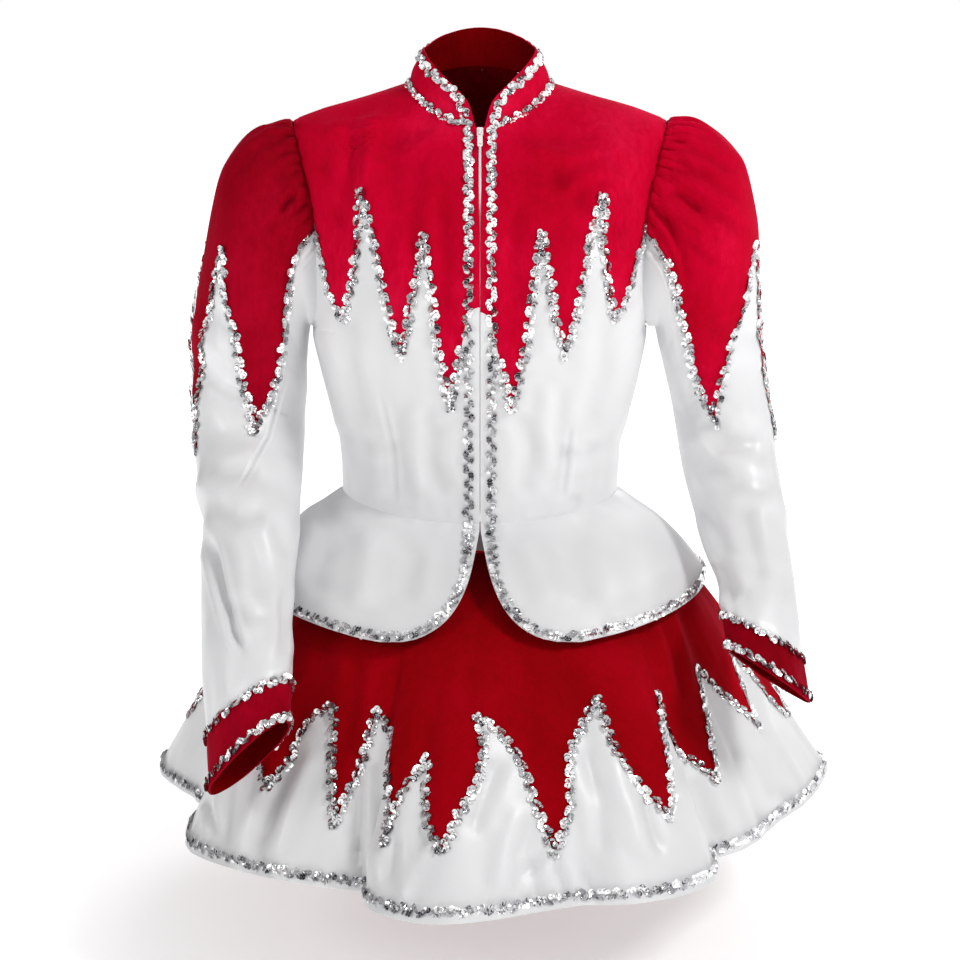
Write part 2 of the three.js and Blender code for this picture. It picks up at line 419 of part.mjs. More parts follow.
// the slider seen from the side: a flat body with a bridge that holds the pull; extruded across its width
const BODY_TOP = 2.2, BRIDGE = { reach: 3.4, post: 0.9, under: 4.2, top: 5.1, width: 1.3 };
{
  // body plate and bridge are one casting: the plate is wide, the bridge narrow, so the outline steps in three slices
  const module = (await import("manifold-3d")).default, wasm = await module();
  wasm.setup();
  const { mergeVertices } = await import("three/addons/utils/BufferGeometryUtils.js");
  const solid = (g, m) => {
    g.deleteAttribute("normal"); g.deleteAttribute("uv");
    g.applyMatrix4(m);
    const w = mergeVertices(g, 1e-4);
    return new wasm.Manifold(new wasm.Mesh({ numProp: 3, vertProperties: new Float32Array(w.attributes.position.array), triVerts: new Uint32Array(w.index.array) }));
  };
  const T = (x, y, z) => new THREE.Matrix4().makeTranslation(x, y, z);
  const oct = (w, h, c) => [[-w + c, -h], [w - c, -h], [w, -h + c], [w, h - c], [w - c, h], [-w + c, h], [-w, h - c], [-w, -h + c]];
  const body = solid(plate(oct(3.1, 4.6, 1.1), BODY_TOP - 0.5), T(0, 0, 0.5));
  const r = BRIDGE.reach, p = BRIDGE.post;
  const arch = [[-r, 1.6], [-r + p, 1.6], [-r + p, BRIDGE.under], [r - p, BRIDGE.under], [r - p, 1.6], [r, 1.6], [r, BRIDGE.top - 0.6], [r - 0.6, BRIDGE.top], [-r + 0.6, BRIDGE.top], [-r, BRIDGE.top - 0.6]];
  const turn = new THREE.Matrix4().makeBasis(V(0, 1, 0), V(0, 0, 1), V(1, 0, 0));
  const bridge = solid(plate(arch, BRIDGE.width), new THREE.Matrix4().multiplyMatrices(T(-BRIDGE.width / 2, 0, 0), turn));
  const m = body.add(bridge).getMesh(), g = new THREE.BufferGeometry();
  g.setAttribute("position", new THREE.Float32BufferAttribute(Array.from(m.vertProperties), 3));
  g.setIndex(Array.from(m.triVerts));
  g.computeVertexNormals();
  place("zip_slider", g, METAL, 0, 0, 0);
}
{
  // pull: a bar under the bridge, two arms and a tapered tab with a small hole at its free end
  const h = PULL.width / 2, a = PULL.arm, L = PULL.length;
  const outline = [[-h + 0.3, 0.4], [h - 0.3, 0.4], [h - 0.3, -5], [h, -7], [h, -L + 1.2], [h - 1.2, -L], [-h + 1.2, -L], [-h, -L + 1.2], [-h, -7], [-h + 0.3, -5]];
  const shape = new THREE.Shape(outline.map(([x, y]) => new THREE.Vector2(x, y)));
  const win = h - 0.3 - a;
  shape.holes.push(new THREE.Path([[-win, -0.4], [-win, -4.8], [win, -4.8], [win, -0.4]].map(([x, y]) => new THREE.Vector2(x, y))));
  shape.holes.push(new THREE.Path(range(7, (_, i) => new THREE.Vector2(-PULL.hole * Math.sin((i * Math.PI) / 4), -L + 3 + PULL.hole * Math.cos((i * Math.PI) / 4)))));
  place("zip_pull", new THREE.ExtrudeGeometry(shape, { depth: PULL.thick - 0.2, bevelEnabled: false }), METAL, 0, 0, 2.8);
}

export default root;
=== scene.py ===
# Looks of the majorette uniform: cloth shells with their creases, sequin trims, zip, floor, light and camera.
# Lengths are worked out in millimetres, as in part.mjs, and turned into metres when a mesh is made.
import bpy, math
import numpy as np
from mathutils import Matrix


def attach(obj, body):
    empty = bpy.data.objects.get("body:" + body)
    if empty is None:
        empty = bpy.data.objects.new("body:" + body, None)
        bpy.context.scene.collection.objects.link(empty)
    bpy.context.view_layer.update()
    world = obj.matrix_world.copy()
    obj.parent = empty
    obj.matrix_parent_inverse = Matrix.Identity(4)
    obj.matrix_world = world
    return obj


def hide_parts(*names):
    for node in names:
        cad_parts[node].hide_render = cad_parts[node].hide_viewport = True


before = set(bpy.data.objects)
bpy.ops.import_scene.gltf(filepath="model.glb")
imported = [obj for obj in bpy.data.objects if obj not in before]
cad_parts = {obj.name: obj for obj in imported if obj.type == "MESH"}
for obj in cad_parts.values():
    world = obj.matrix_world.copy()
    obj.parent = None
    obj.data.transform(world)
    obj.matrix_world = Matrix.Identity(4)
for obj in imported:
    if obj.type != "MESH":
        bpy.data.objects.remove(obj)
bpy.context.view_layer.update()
MM = 0.001

# ---- camera: fitted to the photograph --------------------------------------------------------------
PITCH = math.radians(10.5)
EYE = np.array([0.0, -2000.0, -30.0])
FOCAL = 1950.0
cam_data = bpy.data.cameras.new("camera")
cam_data.sensor_width = 36
cam_data.lens = FOCAL / 960 * 36
cam = bpy.data.objects.new("camera", cam_data)
cam.location = EYE * MM
cam.rotation_euler = (math.pi / 2 - PITCH, 0, 0)
bpy.context.scene.collection.objects.link(cam)
bpy.context.scene.camera = cam


def photo(p):
    """Where points (mm) fall in the photograph, in its pixels: places the creases that it shows."""
    x, y, z = p[..., 0], p[..., 1] - EYE[1], p[..., 2] - EYE[2]
    c, s = math.cos(PITCH), math.sin(PITCH)
    d, up = y * c - z * s, y * s + z * c
    return np.stack([480 + FOCAL * x / d, 480 - FOCAL * up / d], -1)


# ---- named sizes, as in part.mjs -------------------------------------------------------------------
CLOTH = 1.3  # mm, cloth with its seam allowance
V_PIT, V_TIP, ARM_FRONT, ARM_BACK, ARM_POWER = 0.55, 0.935, 22, 26, 3.2
SLEEVE_BLEND, FLARE_START, HEM_MEAN = 70, 0.12, 352
TORSO = [
    [0.0, -408, 143, 93, 85, -428, -404, 2.15], [0.12, -371, 144.5, 98, 89, -386, -369, 2.15],
    [0.25, -332, 152, 106, 95, -343, -330, 2.2], [0.4, -286, 163, 114, 102, -294, -284, 2.25],
    [0.55, -238, 172, 120, 106, -243, -234, 2.3], [0.68, -180, 174, 119, 106, -187, -172, 2.3],
    [0.8, -118, 177, 110, 103, -136, -104, 2.3], [0.89, -66, 186, 96, 92, -100, -50, 2.25],
    [0.935, -34, 189, 84, 82, -80, -20, 2.15], [0.955, -22, 165, 78, 76, -69, -6, 2.1],
    [0.98, -8, 115, 70, 68, -53, 10, 2.0], [1.0, 4, 72, 62, 58, -38, 24, 2.0],
]
COLLAR = [[0, 4, -38, 24, 72, 62, 58], [0.35, 17, -26, 38, 68.5, 61, 56], [0.7, 29, -13, 51, 62, 59, 53], [1, 39.5, -3, 62, 57, 57, 50]]
PEPLUM = [
    [0, -408.6, -428.6, -404.6, 143, 93, 85], [0.15, -421, -441, -417, 163, 113, 106], [0.35, -437, -457, -434, 186, 140, 132],
    [0.6, -459, -479, -458, 209, 174, 164], [0.82, -480, -503, -482, 226, 200, 188], [1, -497, -524, -502, 237, 220, 206],
]
WAISTBAND = [[0, -420, -434, -416, 138, 88, 80], [1, -440, -457, -435, 138, 88, 80]]
SKIRT = [
    [0, -440.5, -458, -436, 138, 88, 80], [0.08, -452, -470, -450, 158, 112, 104], [0.2, -474, -490, -472, 192, 150, 142],
    [0.32, -496, -508, -494, 216, 180, 174], [0.46, -528, -534, -526, 240, 214, 208], [0.6, -566, -568, -566, 262, 246, 240],
    [0.8, -638, -638, -638, 302, 300, 296], [1, -725, -725, -725, 352, 352, 350],
]
FLUTES = [
    [-180, -180, 352], [-160, -160, 372], [-142, -142, 342], [-122, -124, 366], [-108, -106, 352], [-95, -97, 352],
    [-80, -83, 318], [-70, -73, 298], [-60, -60, 335], [-50, -51, 354], [-38, -38, 347], [-28, -24, 336],
    [-21, -16, 330], [-17, -17.5, 350], [-13, -15, 372], [-6, -6, 392], [1, 1, 381], [8, 9, 364],
    [14, 15, 360], [21, 22, 371], [27, 29, 373], [32, 36, 364], [37, 40, 344], [44, 43, 325],
    [52, 52, 331], [62, 64, 330], [74, 77, 346], [84, 86, 362], [94, 97, 378], [108, 110, 362],
    [124, 124, 342], [142, 142, 368], [162, 162, 345], [180, 180, 352],
]
SLEEVES = {
    "right": [
        [-189, -34, -172, -238, 0, 50], [-214, -35, -177, -236, 0, 60], [-259, -74, -178, -267, 2, 72],
        [-273, -117, -179, -283, 4, 74], [-282, -160, -179, -298, 6, 72], [-297, -265, -182, -338, 4, 64],
        [-292, -354, -182, -381, -26, 56], [-285, -396, -182, -408, -66, 53], [-274, -435, -181, -437, -112, 50],
        [-265, -515, -180, -503, -194, 46], [-260, -559, -176, -525, -230, 45], [-256, -594, -175, -540, -252, 44],
        [-251, -643, -175, -575, -284, 43],
    ],
    "left": [
        [189, -34, 172, -238, 0, 50], [212, -32, 181, -239, 0, 60], [262, -65, 186, -265, 4, 72],
        [275, -98, 190, -278, 10, 74], [284, -139, 194, -293, 18, 72], [293, -253, 204, -334, 36, 62],
        [307, -353, 213, -393, 16, 53], [310, -398, 220, -424, -14, 50], [312, -442, 226, -453, -56, 46],
        [314, -509, 235, -488, -132, 41], [315, -544, 234, -500, -160, 40], [317, -583, 237, -530, -194, 39],
    ],
}
CUFF_AT = {"right": 567, "left": 509}
LIFT = {"right": 0.85, "left": 0.5}
WARP = [[0, 0], [13, 0.24], [27, 0.52], [48, 0.86], [75, 1], [110, 1], [156, 0.92], [219, 0.72], [260, 0.52], [400, 0.15], [540, 0]]
WARP_DEG = 46
PEPLUM_EDGE = [[0, 0.1], [0.05, 0.16], [0.15, 0.85], [0.3, 1.75], [0.45, 2.7], [0.6, 4.2], [0.72, 6.2], [0.82, 9], [0.9, 12.6], [0.96, 17], [1, 24]]
COLLAR_EDGE = [[0, 3.6], [0.3, 6], [0.55, 9], [0.75, 14.5], [0.9, 24], [1, 40]]
# half the gap between the front edges over the zip: open at the neck, nearly closed below
ZIP_OPEN = [[0, 0.3], [0.03, 0.3], [0.76, 0.3], [0.87, 1.2], [0.95, 1.7], [0.972, 2.3], [1, 2.4]]

# Flame edges. A third number marks a tip or valley, where the edge turns sharply.
FLAME_FRONT = {
    "right": [[0, 0.63, 1], [2.6, 0.622, 1], [5.6, 0.47], [8.7, 0.35, 1], [11.4, 0.55], [14.8, 0.79, 1], [19.6, 0.62], [23.7, 0.508, 1],
              [30.2, 0.67], [36.2, 0.875, 1], [42, 0.7], [48.8, 0.582, 1], [58, 0.66], [67.5, 0.776], [69, 0.79]],
    "left": [[0, 0.62, 1], [2.1, 0.609, 1], [5.6, 0.46], [9.1, 0.338, 1], [12.4, 0.55], [16.4, 0.793, 1], [21.2, 0.62], [26, 0.504, 1],
             [31.8, 0.67], [37.8, 0.861, 1], [42, 0.7], [47.1, 0.587, 1], [57, 0.66], [67.5, 0.776], [69, 0.79]],
}
FLAME_BACK = [[0, 0.665, 1], [4.5, 0.49], [9, 0.345, 1], [12.5, 0.57], [16, 0.795, 1], [20.5, 0.615], [25, 0.507, 1], [31, 0.67],
              [37, 0.868, 1], [42, 0.7], [48, 0.583, 1], [56, 0.66], [63.5, 0.776], [65, 0.79]]
FLAME_SLEEVE = {
    "right": [[84, -2], [82, 60], [80.5, 130], [79, 200], [77.5, 262, 1], [73, 244], [62, 199], [54, 159], [46, 137], [40, 120],
              [34, 92, 1], [32, 135], [29.5, 200], [26, 245], [21, 288, 1], [12, 220], [0, 150], [-13, 94, 1], [-24, 165], [-38, 225],
              [-50, 264, 1], [-62, 190], [-76, 90], [-84, -2]],
    "left": [[84, -2], [82, 60], [80.5, 125], [79, 185], [77, 238, 1], [72, 222], [62, 197], [52, 164], [43, 147], [33, 124],
             [24, 108, 1], [22, 140], [20, 190], [18, 240], [14, 282, 1], [6, 220], [-4, 150], [-14, 94, 1], [-24, 165], [-38, 225],
             [-50, 264, 1], [-62, 190], [-76, 90], [-84, -2]],
}
FLAME_SKIRT = [
    [-95, 0.97], [-90, 0.86, 1], [-84, 0.72], [-78, 0.6, 1], [-72, 0.72], [-66, 0.84, 1], [-58, 0.79], [-47.4, 0.72, 1], [-43.5, 0.79], [-40.4, 0.842, 1],
    [-38.6, 0.779], [-36.7, 0.697], [-32.6, 0.634, 1], [-31, 0.768], [-28.9, 0.893, 1], [-27.3, 0.798], [-26.4, 0.761], [-25, 0.638, 1],
    [-19.5, 0.715], [-15, 0.785], [-13.2, 0.893, 1], [-12, 0.811], [-9.9, 0.743], [-8.8, 0.71, 1], [-8.3, 0.812], [-5.7, 0.889, 1],
    [-3.3, 0.821], [-0.3, 0.755], [0.6, 0.686], [-0.6, 0.623, 1], [3.6, 0.665], [6.8, 0.734], [8.7, 0.823], [10.6, 0.909, 1],
    [14.3, 0.829], [15.9, 0.734], [19.6, 0.661], [23.6, 0.602, 1], [23.9, 0.706], [25.4, 0.768], [27.3, 0.813], [29.5, 0.872, 1],
    [35.4, 0.718], [40.3, 0.628, 1], [41.1, 0.76], [47.3, 0.815], [49.6, 0.864, 1], [51.3, 0.807], [54.6, 0.688], [57.3, 0.592, 1],
    [64.5, 0.703], [69.4, 0.778], [71.3, 0.813, 1], [73, 0.679], [76.9, 0.594, 1], [82, 0.73], [90, 0.86, 1], [95, 0.97],
]
FLAME_SKIRT_BACK = [
    [85, 0.97], [90, 0.86, 1], [97, 0.71], [103, 0.615, 1], [108, 0.74], [114, 0.884, 1], [121, 0.735], [127, 0.635, 1],
    [133, 0.76], [139, 0.865, 1], [145, 0.715], [150, 0.605, 1], [157, 0.76], [163, 0.894, 1], [170, 0.74], [176, 0.645, 1], [183, 0.77],
    [189, 0.874, 1], [196, 0.725], [202, 0.595, 1], [208, 0.75], [214, 0.884, 1], [221, 0.735], [227, 0.625, 1], [234, 0.76], [241, 0.874, 1],
    [248, 0.715], [254, 0.615, 1], [262, 0.74], [270, 0.86, 1], [275, 0.97],
]

# Creases that the photograph shows: photo pixels, width (mm), depth (mm, minus is a ridge)
CREASES = {
    "jacket": [
        ([(382, 391), (391, 436), (395, 464), (397, 504)], 2.3, 1.0), ([(572, 424), (569, 456), (564, 498)], 2.3, 0.9),
        ([(380, 436), (383, 504)], 9, -1.5), ([(581, 440), (576, 500)], 9, -1.5),
        ([(345, 300), (352, 372), (366, 440)], 11, 2.4), ([(612, 300), (607, 372), (594, 440)], 11, 2.4),
        ([(330, 430), (372, 446), (402, 450)], 7, 1.5), ([(628, 440), (590, 452), (552, 458)], 7, 1.5), ([(440, 420), (436, 462), (448, 500)], 9, 1.8), ([(520, 410), (532, 450), (526, 500)], 9, 1.8), ([(418, 400), (414, 450), (422, 496)], 8, -1.6), ([(552, 380), (548, 430), (552, 480)], 8, -1.6),
        ([(424, 300), (430, 352)], 8, 0.8), ([(540, 300), (534, 360)], 8, 0.8),
        ([(352, 118), (349, 160), (352, 205)], 9, 3.3), ([(368, 112), (367, 150), (362, 190)], 8, -3.0),
        ([(397, 112), (394, 180), (400, 245)], 11, 3.6), ([(417, 135), (414, 220), (420, 300)], 9, 2.8),
        ([(318, 128), (350, 130), (395, 116)], 8, -2.7), ([(318, 150), (336, 190), (340, 232)], 9, 2.7),
        ([(524, 144), (560, 160), (604, 150)], 10, -3.4), ([(562, 198), (580, 177), (608, 168)], 8, -3.0),
        ([(546, 168), (575, 190), (588, 220)], 9, 2.7), ([(598, 122), (614, 150), (640, 168)], 8, -2.8),
        ([(545, 226), (590, 240), (636, 230)], 12, 2.7), ([(440, 190), (446, 260), (440, 330)], 9, 2.4),
        ([(518, 200), (514, 260), (522, 320)], 9, 2.4), ([(630, 180), (622, 220), (628, 262)], 9, 2.7),
        ([(505, 128), (530, 142), (566, 138)], 7, 2.1), ([(430, 120), (412, 134), (384, 140)], 8, 2.2),
    ],
    "peplum": [
        ([(352, 508), (332, 560), (320, 602)], 17, 2.6), ([(374, 514), (372, 560), (364, 612)], 13, -2.4),
        ([(405, 520), (414, 560), (406, 604)], 10, 1.8), ([(598, 504), (640, 550), (668, 584)], 17, -2.4),
        ([(566, 514), (582, 560), (594, 604)], 13, 2.2), ([(522, 534), (538, 574), (552, 606)], 10, -1.6),
        ([(318, 520), (300, 560), (292, 590)], 10, -1.6),
    ],
    "sleeve_right": [
        ([(208, 536), (216, 565), (223, 596), (232, 628), (244, 655)], 4.6, 6.0), ([(236, 530), (248, 585), (260, 640)], 13, -2.2),
        ([(284, 583), (285, 620), (282, 659)], 5, 3.4), ([(287, 376), (267, 438), (250, 468), (235, 495)], 1.7, 1.3),
        ([(279, 212), (288, 202), (297, 195)], 4.0, 7.5), ([(284, 194), (290, 190), (304, 186)], 7, -2.5), ([(262, 128), (282, 132), (297, 126)], 3.2, -2.6), ([(276, 150), (286, 145), (300, 141)], 3.2, -2.4), ([(262, 236), (276, 222), (291, 212)], 5, 2.6),
        ([(196, 300), (226, 330), (262, 338)], 11, 2.2), ([(190, 350), (216, 392), (250, 410)], 12, 2.4),
        ([(200, 470), (226, 476), (262, 470)], 9, 2.2), ([(205, 505), (236, 520), (268, 512)], 9, 2.0),
        ([(246, 520), (258, 560), (262, 610)], 9, 2.0), ([(270, 520), (282, 545), (290, 560)], 6, 1.8),
        ([(222, 600), (246, 618), (270, 620)], 8, 1.4),
    ],
    "sleeve_left": [
        ([(715, 560), (722, 580), (735, 600)], 9, 3.6), ([(742, 500), (752, 540), (766, 585)], 10, 2.6),
        ([(700, 420), (728, 440), (764, 442)], 11, 2.6), ([(704, 462), (734, 486), (776, 492)], 10, 2.4),
        ([(696, 505), (716, 530), (728, 560)], 7, 2.4), ([(770, 505), (780, 560), (790, 610)], 8, 2.0),
        ([(672, 214), (684, 224), (700, 232)], 5, 3.4), ([(664, 190), (684, 196), (708, 210)], 5, 3.0),
        ([(668, 168), (690, 170), (716, 178)], 5, 2.6),
        ([(653, 199), (667, 213), (677, 238)], 4.5, 3.6), ([(660, 198), (676, 214), (694, 232), (712, 250), (728, 254)], 6.5, -3.4),
        ([(654, 180), (676, 181), (700, 189), (722, 200), (740, 214)], 6, -3.2), ([(664, 189), (682, 204), (704, 213), (726, 221), (746, 238)], 7, 4.2),
        ([(664, 131), (690, 137), (716, 150), (738, 166)], 6, -2.8), ([(666, 139), (690, 147), (716, 160), (734, 176)], 5.5, 3.2),
        ([(664, 152), (676, 156), (688, 166)], 4, 2.6), ([(700, 330), (730, 340), (762, 330)], 12, 1.8),
    ],
    "skirt": [
        ([(304, 740), (272, 808), (252, 856)], 8, 2.8), ([(318, 748), (290, 812), (272, 866)], 9, -2.0),
        ([(355, 761), (355, 823), (357, 872)], 7, 3.6), ([(371, 790), (370, 830), (375, 880)], 7, -2.6),
        ([(398, 834), (387, 888)], 6, 3.0), ([(430, 842), (416, 868), (404, 904)], 7, -2.8),
        ([(499, 754), (488, 790), (472, 836)], 9, 2.2), ([(520, 800), (506, 850), (498, 896)], 9, -2.0),
        ([(546, 850), (524, 876)], 6, 2.6), ([(585, 740), (600, 800), (606, 860)], 9, 2.4),
        ([(612, 752), (630, 810), (640, 858)], 9, -2.2), ([(640, 790), (652, 830), (664, 856)], 7, 2.8),
        ([(690, 770), (706, 810), (722, 840)], 8, 2.4), ([(740, 750), (760, 790), (780, 812)], 8, -2.0),
        ([(355, 834), (358, 862), (362, 890)], 5, 3.4), ([(661, 609), (674, 655), (684, 700)], 5.5, 3.6),
        ([(677, 598), (696, 641), (709, 671)], 5.5, 3.4), ([(206, 796), (211, 815), (217, 837)], 4, 3.0),
        ([(530, 846), (536, 880), (540, 905)], 5, 1.8), ([(552, 858), (562, 884), (568, 905)], 5, 2.0),
        ([(580, 866), (590, 890), (597, 903)], 4, 1.6), ([(430, 700), (424, 780), (418, 880)], 9, 2.2),
        ([(300, 690), (284, 760), (268, 850)], 10, 2.0), ([(566, 650), (584, 720), (600, 800)], 11, 2.4),
        ([(468, 660), (466, 720)], 9, 1.4), ([(240, 720), (232, 780), (226, 850)], 6, 2.6),
        ([(730, 640), (748, 690), (766, 740)], 5, 2.2), ([(360, 650), (352, 700), (345, 760)], 8, 1.8),
    ],
}


# ---- small mathematics -----------------------------------------------------------------------------
class Curve:
    """Monotone cubic through (x, y), for arrays."""

    def __init__(self, rows, i):
        x, y = np.array([r[0] for r in rows], float), np.array([r[i] for r in rows], float)
        d, m = np.diff(y) / np.diff(x), np.empty(len(x))
        m[0], m[-1] = d[0], d[-1]
        for j in range(1, len(x) - 1):
            a, b = d[j - 1], d[j]
            h0, h1 = x[j] - x[j - 1], x[j + 1] - x[j]
            m[j] = 0 if a * b <= 0 else (3 * h1 + 3 * h0) / ((2 * h1 + h0) / a + (h1 + 2 * h0) / b)
        self.x, self.y, self.m = x, y, m

    def __call__(self, q):
        q = np.asarray(q, float)
        k = np.clip(np.searchsorted(self.x, q, side="right") - 1, 0, len(self.x) - 2)
        h = self.x[k + 1] - self.x[k]
        t = np.clip((q - self.x[k]) / h, 0, 1)
        return ((2 * t**3 - 3 * t * t + 1) * self.y[k] + (t**3 - 2 * t * t + t) * h * self.m[k]
                + (3 * t * t - 2 * t**3) * self.y[k + 1] + (t**3 - t * t) * h * self.m[k + 1])


def smooth(x):
    t = np.clip(x, 0, 1)
    return t * t * (3 - 2 * t)


def unit(v):
    return v / np.maximum(np.linalg.norm(v, axis=-1, keepdims=True), 1e-9)


def hashed(ix, iy, seed):
    n = (ix.astype(np.int64) * 374761393 + iy.astype(np.int64) * 668265263 + seed * 1442695041) & 0x7FFFFFFF
    n = ((n ^ (n >> 13)) * 1274126177) & 0x7FFFFFFF
    return ((n ^ (n >> 16)) & 0xFFFF) / 65535.0


def noise(x, y, seed, wrap=None):
    """Smooth value noise from -1 to 1; x repeats after wrap cells."""
    x0, y0 = np.floor(x), np.floor(y)
    fx, fy = smooth(x - x0), smooth(y - y0)
    a = (lambda i: np.mod(i, wrap)) if wrap else (lambda i: i)
    v = [[hashed(a(x0 + i), y0 + j, seed) for i in (0, 1)] for j in (0, 1)]
    return 2 * ((v[0][0] * (1 - fx) + v[0][1] * fx) * (1 - fy) + (v[1][0] * (1 - fx) + v[1][1] * fx) * fy) - 1


def to_line(p, line):
    """Distance of 2-D points from an open line, and how far along it (0 to 1) the nearest point is."""
    line = np.asarray(line, float)
    best, at = np.full(p.shape[:-1], 1e9), np.zeros(p.shape[:-1])
    seg = np.linalg.norm(np.diff(line, axis=0), axis=1)
    done, total = 0.0, seg.sum()
    for a, b, l in zip(line[:-1], line[1:], seg):
        t = np.clip(((p - a) @ (b - a)) / max(l * l, 1e-9), 0, 1)
        d = np.linalg.norm(p - (a + t[..., None] * (b - a)), axis=-1)
        near = d < best
        at = np.where(near, (done + t * l) / total, at)
        best = np.minimum(best, d)
        done += l
    return best, at


def creased(p, n, creases):
    """Height that the photographed creases add at points p (mm) with normals n."""
    q, toward = photo(p), unit(EYE - p)
    facing = smooth((n * toward).sum(-1) * 6 + 0.6)
    h = np.zeros(p.shape[:-1])
    for line, w, depth in creases:
        line = np.asarray(line, float)
        depth = depth * (1.45 if w >= 8 else 1.0)  # broad soft folds
        lo, hi = line.min(0) - 4 * w, line.max(0) + 4 * w
        m = ((q > lo) & (q < hi)).all(-1)
        if not m.any():
            continue
        d, t = to_line(q[m], line)
        fade = smooth(np.minimum(t, 1 - t) / 0.22 + 0.12)
        shape = -np.exp(-((d / w) ** 2)) + 0.42 * np.exp(-(((d - 1.9 * w) / (0.9 * w)) ** 2))
        h[m] += depth * shape * fade * facing[m]
    return h


def curve_through(points, step):
    """Dense line through points whose third number, if any, marks a sharp turn. step is not used."""
    sharp = [0] + [i for i, p in enumerate(points) if len(p) > 2 and 0 < i < len(points) - 1] + [len(points) - 1]
    out = []
    for a, b in zip(sharp[:-1], sharp[1:]):
        if b == a:
            continue
        q = np.array([p[:2] for p in points[a:b + 1]], float)
        if len(q) == 2:
            fine = np.linspace(0, 1, 40)[:, None] * (q[1] - q[0]) + q[0]
        else:
            ext = np.vstack([2 * q[0] - q[1], q, 2 * q[-1] - q[-2]])
            fine = []
            for k in range(1, len(ext) - 2):
                t = np.linspace(0, 1, 24)[:, None]
                p0, p1, p2, p3 = ext[k - 1:k + 3]
                fine.append(0.5 * (2 * p1 + (p2 - p0) * t + (2 * p0 - 5 * p1 + 4 * p2 - p3) * t**2 + (3 * p1 - p0 - 3 * p2 + p3) * t**3))
            fine = np.vstack(fine)
        out.append(fine if not out else fine[1:])
    return np.vstack(out)


# ---- surfaces of the garment (mm) --------------------------------------------------------------------
T = [None] + [Curve(TORSO, i) for i in range(1, 8)]


def torso(theta, v):
    zS, w, dF, dB, zF, zB, n = [T[i](v) for i in range(1, 8)]
    s, c = np.sin(theta), np.cos(theta)
    e, front, k = 2 / n, c >= 0, np.abs(c) ** 1.7
    return np.stack([w * np.sign(s) * np.abs(s) ** e, -np.where(front, dF, dB) * np.sign(c) * np.abs(c) ** e,
                     zS + (np.where(front, zF, zB) - zS) * k], -1)


def ring_of(rows):
    R = [None] + [Curve(rows, i) for i in range(1, 7)]

    def f(theta, s):
        zS, zF, zB, w, dF, dB = [R[i](s) for i in range(1, 7)]
        c = np.cos(theta)
        front, k = c >= 0, np.abs(c) ** 1.7
        return np.stack([w * np.sin(theta), -np.where(front, dF, dB) * c, zS + (np.where(front, zF, zB) - zS) * k], -1)
    return f


def theta_out(v, back):
    t = np.clip((v - V_PIT) / (V_TIP - V_PIT), 0, 1)
    arch = np.maximum(0, 1 - np.abs(2 * t - 1) ** ARM_POWER) ** (1 / ARM_POWER)
    return np.radians(90 - (ARM_BACK if back else ARM_FRONT) * arch)


def spread(a, v, back):
    inner = math.radians(90 - (ARM_BACK if back else ARM_FRONT))
    return inner * a + (theta_out(v, back) - inner) * smooth((a - 0.6) / 0.4)


zip_open = Curve(ZIP_OPEN, 1)


def front_base(side):
    def f(a, v):
        n, w = T[7](v), T[2](v)
        t0 = np.arcsin((zip_open(v) / w) ** (n / 2))
        return torso(side * (t0 * (1 - a) + spread(a, v, False)), v)
    return f


def back_base(a, v):
    return torso(math.pi - np.sign(a) * spread(np.abs(a), v, True), v)


def armhole(beta, side):
    d = np.mod(np.degrees(beta) + 180, 360) - 180
    v = V_PIT + (V_TIP - V_PIT) * (1 + np.cos(np.radians(np.abs(d)))) / 2
    t = np.where(d < 0, math.pi - theta_out(v, True), theta_out(v, False))
    return torso(side * t, v)


def sleeve_base(name):
    rows, at, out = SLEEVES[name], 0.0, []
    for i, r in enumerate(rows):
        if i:
            p = rows[i - 1]
            at += math.hypot((r[0] + r[2] - p[0] - p[2]) / 2, r[4] - p[4], (r[1] + r[3] - p[1] - p[3]) / 2)
        out.append([at] + r)
    C, r0 = [None] + [Curve(out, i) for i in range(1, 7)], rows[0]
    side, end, warp = (-1 if name == "right" else 1), at, Curve(WARP, 1)
    vec = lambda x, y, z: np.stack(np.broadcast_arrays(np.asarray(x, float), y, z), -1)
    centre = lambda s: vec((C[1](s) + C[3](s)) / 2, C[5](s), (C[2](s) + C[4](s)) / 2)

    def f(deg, s):
        deg, s = np.broadcast_arrays(np.asarray(deg, float), np.asarray(s, float))
        d = np.mod(deg + 180, 360) - 180
        m = np.abs(d)
        lean = WARP_DEG * np.where(m < 80, smooth(m / 80), smooth((180 - m) / 100)) * np.maximum(0, warp(s))
        beta = np.radians(np.sign(d) * (m + lean))
        axis = unit(centre(np.minimum(s + 6, end)) - centre(np.maximum(s - 6, 0)))
        lift = LIFT[name] * np.clip((s - 60) / 80, 0, 1)
        forward = unit(np.array([0.0, -1, 0]) + axis * (axis[..., 1] * lift)[..., None])
        o = vec((C[1](s) - C[3](s)) / 2, 0.0, (C[2](s) - C[4](s)) / 2)
        cb, sb = np.cos(beta)[..., None], np.sin(beta)[..., None]
        p = centre(s) + o * cb + forward * sb * C[6](s)[..., None]
        e = (np.array([(r0[0] + r0[2]) / 2, r0[4], (r0[1] + r0[3]) / 2])
             + np.array([(r0[0] - r0[2]) / 2, 0, (r0[1] - r0[3]) / 2]) * cb + np.array([0.0, -1, 0]) * r0[5] * sb)
        return p + (armhole(beta, side) - e) * smooth(1 - s / SLEEVE_BLEND)[..., None]
    return f, end


F1, F2 = Curve(FLUTES, 1), Curve(FLUTES, 2)
skirt_ring = ring_of(SKIRT)


